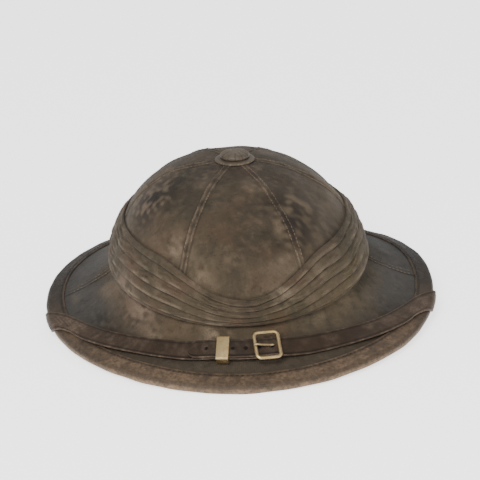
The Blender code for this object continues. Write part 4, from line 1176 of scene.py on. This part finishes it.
def makeStrip(name, ats, width, base, seed, roundEnds=0.0):
    # a rectangular profile with soft edges and a pressed line along each, carried along the strap's line
    s, halfWidth = strapSizes, width / 2
    across = np.array([-1, -0.985, -0.95, -0.9, -0.84, -0.78, -0.6, -0.3, 0,
                       0.3, 0.6, 0.78, 0.84, 0.9, 0.95, 0.985, 1])
    fromEdge = (1 - np.abs(across)) * halfWidth
    edge = np.sqrt(np.clip(1 - (1 - np.clip(fromEdge / s["edgeRound"], 0, 1)) ** 2, 0, 1))
    groove = np.exp(-((fromEdge - s["groove"]) / s["grooveWidth"]) ** 2)
    top = s["wall"] * (0.5 + 0.5 * edge) - s["grooveDepth"] * groove + s["crown"] * (1 - across ** 2)
    bottom = s["wall"] * (0.5 - 0.5 * edge)
    onTop = np.repeat([1.0, 0.0], len(across))
    profile = np.concatenate([top, bottom[::-1]])
    offset, at = grid(np.concatenate([across, across[::-1]]) * halfWidth, ats)
    if roundEnds:
        # the free end is rounded: half width = square root of 1 - run squared
        run = 1 - np.clip(np.abs(at - ats[0]) / roundEnds, 0, 1)
        offset = offset * np.sqrt(np.clip(1 - run ** 2, 0.02, 1))
    plain = strapSurface(at, offset, base + profile + 0 * at)
    crease = roughWaves(seed, plain, [0.012, 0.006, 0.0035]) * s["crease"]
    crease = crease + roughWaves(seed + 1, plain, [0.05]) * s["wave"]
    points = strapSurface(at, offset, base + profile + onTop * crease)
    middle, half = len(across) // 2, len(ats) // 2
    length = walkedLength(points[:, middle: middle + 1], 0)
    around = walkedLength(np.append(points[half], points[half, :1], 0)[None], 1)
    place = np.stack(np.broadcast_arrays(length, around), -1)
    rubbed = patches(seed + 2, plain, [0.04, 0.015, 0.006], -0.3, 0.8)
    rims = np.tile(np.exp(-(fromEdge / 0.0007) ** 2), 2)
    atBend = np.exp(-((strapLine(np.abs(at))[1] - s["bendAt"]) / s["bendReach"]) ** 2) * (0.55 + 0.4 * rubbed)
    wear = np.clip(rims * (0.3 + 0.7 * rubbed) + (0.25 * rubbed + atBend) * onTop, 0, 1)
    # painted shade in the pressed line along each edge of the strap's top
    grime = np.broadcast_to(np.concatenate([0.7 * groove, 0 * groove]), wear.shape)
    return surfacePiece(name, points, False, True, place, dict(wear=wear, grime=grime), flip=True, caps=True)


def evenStations(low, high, count):
    # shares that walk the strap's line in even steps
    fine = np.linspace(low, high, 1600)
    walked = walkedLength(strapSurface(fine, 0.0, 0.0)[None], 1)[0]
    return np.interp(np.linspace(0, walked[-1], count), walked, fine)


def shareAtAzimuth(azimuth):
    fine = np.linspace(0, 0.8, 2001)
    return float(np.interp(abs(azimuth), strapLine(fine)[0], fine)) * (1 if azimuth >= 0 else -1)


def strapFrame(azimuth, extra):
    # place and axes on the strap: along it towards +X, across it towards the crown, and off it
    at, fine = shareAtAzimuth(azimuth), 0.01
    along = Vector(strapSurface(at + fine, 0.0, extra) - strapSurface(at - fine, 0.0, extra)).normalized()
    aside = strapSizes["width"] / 4
    across = Vector(strapSurface(at, aside, extra) - strapSurface(at, -aside, extra))
    off = along.cross(across).normalized()
    across = off.cross(along)
    turned = Matrix((along, across, off)).transposed().to_4x4()
    return Matrix.Translation(Vector(strapSurface(at, 0.0, extra))) @ turned


def framed(points, frame4):
    # carries points from a frame on the strap to the helmet's own axes
    turned = np.array(frame4)
    return points @ turned[:3, :3].T + turned[:3, 3]


def makeChinStrap():
    s = strapSizes
    return makeStrip("chinStrap", evenStations(-1, 1, s["stations"]), s["width"], 0.0, 81)


def makeTail():
    s = strapSizes
    stations = evenStations(shareAtAzimuth(s["tailEnd"]), shareAtAzimuth(s["tailStart"]), s["tailStations"])
    return makeStrip("strapTail", stations, s["tailWidth"], s["wall"] + gap, 91, roundEnds=s["tailRound"])


dress(makeChinStrap(), ["chin_strap"], strapLeather)
dress(makeTail(), ["strap_tail"], tailLeather)


# Buckle, tongue, keeper and screws

metalSizes = dict(
    buckleLength=0.017, wire=0.0013, corner=0.003, sideRoom=0.001, tongue=0.0008,
    keeperLength=0.009, keeperWall=0.0008, keeperRoom=0.0008, keeperCorner=0.0014, keeperInner=0.0005,
    screwRadius=0.0015, screwHead=0.0034, screwRise=0.0012, screwGrip=0.003, screwInset=0.007, screwSeat=0.0004,
    slotWidth=0.0007, slotDepth=0.0005, slotSoft=0.0001, keeperSoft=0.0002, axisRadius=0.0001,
    buckleRings=160, tongueRings=40, buckleSides=16, tongueSides=12, screwColumns=96,
)


def roundedOblong(halfLength, halfWidth, corner, perCorner):
    # points in order round an oblong with round corners
    turn = pi / 2 * (np.arange(4)[:, None] + np.linspace(0, 1, perCorner)[None, :])
    signX = np.array([1, -1, -1, 1])[:, None]
    signY = np.array([1, 1, -1, -1])[:, None]
    x = signX * (halfLength - corner) + corner * np.cos(turn)
    y = signY * (halfWidth - corner) + corner * np.sin(turn)
    return np.stack([x.ravel(), y.ravel()], -1)


def tubePoints(line, radii, closed, sides):
    # circles carried along a line, each across the line's own direction, with one steady sideways axis
    ahead = np.roll(line, -1, 0) - np.roll(line, 1, 0) if closed else np.gradient(line, axis=0)
    tangent = unit(ahead)
    first = unit(np.cross((0, 0, 1) if closed else (0, 1, 0), tangent))
    second = np.cross(tangent, first)
    turn = np.linspace(0, 2 * pi, sides, endpoint=False)
    circle = first[:, None] * np.cos(turn)[None, :, None] + second[:, None] * np.sin(turn)[None, :, None]
    return line[:, None] + circle * radii[:, None, None]


def resample(line, count, closed):
    # the same line at even steps
    line = np.concatenate([line, line[:1]]) if closed else line
    walked = walkedLength(line[None], 1)[0]
    return pick(line, walked, np.linspace(0, walked[-1], count, endpoint=not closed))


def makeBuckle():
    # a frame of round wire, and a tongue that rises from one bar to lie on the other
    m, s = metalSizes, strapSizes
    placed = strapFrame(s["buckleAt"], strapLayers / 2)
    bed = strapLayers / 2 + gap + s["ease"]
    over = bed + m["wire"]
    reach = m["buckleLength"] / 2
    oblong = roundedOblong(reach, s["width"] / 2 + m["sideRoom"] + m["wire"], m["corner"], 9)
    line = resample(np.column_stack([oblong, np.full(len(oblong), over)]), m["buckleRings"], True)
    points = tubePoints(line, np.full(len(line), m["wire"]), True, m["buckleSides"])
    loop = surfacePiece("buckleFrame", framed(points, placed), True, True)
    low, high = bed + m["tongue"], over + m["wire"] + gap + m["tongue"]
    start = reach - m["wire"] - gap - 2 * m["tongue"]
    knots = np.array([(start, 0, low), (start * 0.7, 0, low), (start * 0.4, 0, low),
                      (-reach * 0.45, 0, (low + high) / 2),
                      (-reach + m["wire"], 0, high), (-reach - m["wire"], 0, high)])
    ring = np.arange(m["tongueRings"])
    radii = m["tongue"] * np.sqrt(np.clip(np.minimum(ring, ring[::-1]) / 3, 0.1, 1))
    points = tubePoints(resample(knots, m["tongueRings"], False), radii, False, m["tongueSides"])
    return loop, surfacePiece("buckleTongue", framed(points, placed), False, True, caps=True)


def makeKeeper():
    # a flat band round both layers of strap: an outer and an inner rounded oblong, and the faces between them
    m, s = metalSizes, strapSizes
    halfWidth, halfHeight = s["width"] / 2 + m["keeperRoom"], strapLayers / 2 + gap + s["ease"]
    outer = roundedOblong(halfWidth + m["keeperWall"], halfHeight + m["keeperWall"], m["keeperCorner"], 8)
    inner = roundedOblong(halfWidth, halfHeight, m["keeperInner"], 8)
    half, soft = m["keeperLength"] / 2, m["keeperSoft"]
    # share of the way from the outer oblong to the inner one, and the place along the strap
    rings = ((0, -half + soft), (0, half - soft), (0.02, half - soft / 3), (0.15, half), (0.85, half),
             (1, half - soft), (1, -half + soft), (0.85, -half), (0.15, -half))
    points = np.stack([np.column_stack([np.full(len(outer), along), outer * (1 - share) + inner * share])
                       for share, along in rings])
    placed = strapFrame(s["keeperAt"], strapLayers / 2)
    return surfacePiece("strapKeeper", framed(points, placed), True, True)


def screwFrame(side):
    # its axis points into the shell, where the screw holds the end of the strap to the inner wall
    azimuth, past = strapLine(np.array(1.0))
    azimuth, past = np.array(side * float(azimuth)), np.array(float(past) - metalSizes["screwInset"])
    under = Vector(strapPoint(azimuth, past, 0.0))
    off = Vector(strapPoint(azimuth, past, strapSizes["wall"])) - under
    return Matrix.Translation(under) @ (-off).to_track_quat("Z", "Y").to_matrix().to_4x4()


def makeScrew(side):
    # a turned profile with a slot pressed across its head
    m = metalSizes
    head = -(strapSizes["wall"] + m["screwSeat"])
    grip = float(strapLift(np.array(pi / 2), strapLine(np.array(1.0))[1])) + m["screwGrip"]
    top = head - m["screwRise"]
    bow = [(m["screwHead"] * share, head - m["screwRise"] * (1 - 0.6 * share**4))
           for share in (0.1, 0.2, 0.3, 0.4, 0.5, 0.6, 0.7, 0.8, 0.9, 0.97)]
    profile = np.array([(m["axisRadius"], top), *bow, (m["screwHead"], head - m["screwRise"] * 0.3),
                        (m["screwHead"], head), (m["screwRadius"], head), (m["screwRadius"], grip),
                        (m["axisRadius"], grip)])
    angle, radius = grid(np.linspace(0, 2 * pi, m["screwColumns"], endpoint=False), profile[:, 0])
    x, y = radius * np.cos(angle), radius * np.sin(angle)
    inSlot = 1 - smoothStep(np.abs(y) - m["slotWidth"] / 2, -m["slotSoft"], m["slotSoft"])
    onHead = (np.arange(len(profile)) <= len(bow))[:, None]
    points = np.stack([x, y, profile[:, 1:] + m["slotDepth"] * inSlot * onHead], -1)
    name = "strapScrewLeft" if side > 0 else "strapScrewRight"
    return surfacePiece(name, framed(points, screwFrame(side)), False, True, caps=True, flip=True)


metalNodes = ("buckle_frame", "buckle_tongue", "strap_keeper", "strap_screw_left", "strap_screw_right")
for piece, node in zip((*makeBuckle(), makeKeeper(), makeScrew(1), makeScrew(-1)), metalNodes):
    dress(piece, [node], brass)


# Normals outwards on every new piece

def faceOutwards():
    for piece in bpy.data.objects:
        if piece.type == "MESH" and "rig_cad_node" not in piece:
            shape = bmesh.new()
            shape.from_mesh(piece.data)
            bmesh.ops.recalc_face_normals(shape, faces=shape.faces)
            shape.to_mesh(piece.data)
            shape.free()


faceOutwards()


# Floor, light and camera

def makeFloor():
    # a wide level plane under the binding
    across = np.linspace(-4, 4, 9)
    x, y = np.meshgrid(across, across, indexing="ij")
    floor = surfacePiece("floor", np.stack([x, y, 0 * x - 0.0001], -1))
    board = NodeBoard("paleFloor")
    tone = board.noise(3.0, 2.0)
    board.done(board.mix(tone, (0.90, 0.90, 0.90), (0.93, 0.93, 0.93)), 0.8, None, Specular_IOR_Level=0.2,
               Emission_Color=(1, 1, 1, 1), Emission_Strength=studio["floorGlow"])
    floor.data.materials.append(board.material)


studio = dict(distance=1.8, elevation=21.38, turned=1.60, roll=-2.108, target=(0.0018, 0.0, 0.051), lens=177.4,
              sensor=36.0, world=0.62, floorGlow=1.75, lightTarget=(0, 0, 0.05))
# name, place, width and power of each light
studioLights = (
    ("keyLight", (-0.45, -1.45, 1.35), 1.0, 41.0),
    ("fillLight", (1.3, -0.9, 0.9), 1.4, 5.0),
    ("backLight", (0.2, 1.4, 1.3), 1.2, 5.0),
)


def areaLight(name, place, size, power):
    lamp = bpy.data.lights.new(name, "AREA")
    lamp.shape, lamp.size, lamp.energy = "DISK", size, power
    thing = bpy.data.objects.new(name, lamp)
    bpy.context.scene.collection.objects.link(thing)
    thing.location = place
    thing.rotation_euler = (Vector(studio["lightTarget"]) - Vector(place)).to_track_quat("-Z", "Y").to_euler()


def makeStudio():
    makeFloor()
    for light in studioLights:
        areaLight(*light)
    world = bpy.data.worlds.new("studioWorld")
    world.use_nodes = True
    sky = world.node_tree.nodes["Background"]
    sky.inputs["Color"].default_value = (1, 1, 1, 1)
    sky.inputs["Strength"].default_value = studio["world"]
    bpy.context.scene.world = world
    lens = bpy.data.cameras.new("photoCamera")
    lens.lens, lens.sensor_width, lens.clip_start = studio["lens"], studio["sensor"], 0.05
    camera = bpy.data.objects.new("photoCamera", lens)
    bpy.context.scene.collection.objects.link(camera)
    up, turned = np.radians(studio["elevation"]), np.radians(studio["turned"])
    direction = Vector((-np.sin(turned) * np.cos(up), -np.cos(turned) * np.cos(up), np.sin(up)))
    place = Vector(studio["target"]) + direction * studio["distance"]
    look = (-direction).to_track_quat("-Z", "Y").to_matrix().to_4x4()
    camera.matrix_world = Matrix.Translation(place) @ look @ Matrix.Rotation(np.radians(studio["roll"]), 4, "Z")
    bpy.context.scene.camera = camera


makeStudio()
bpy.context.view_layer.update()
print("helmet ready")
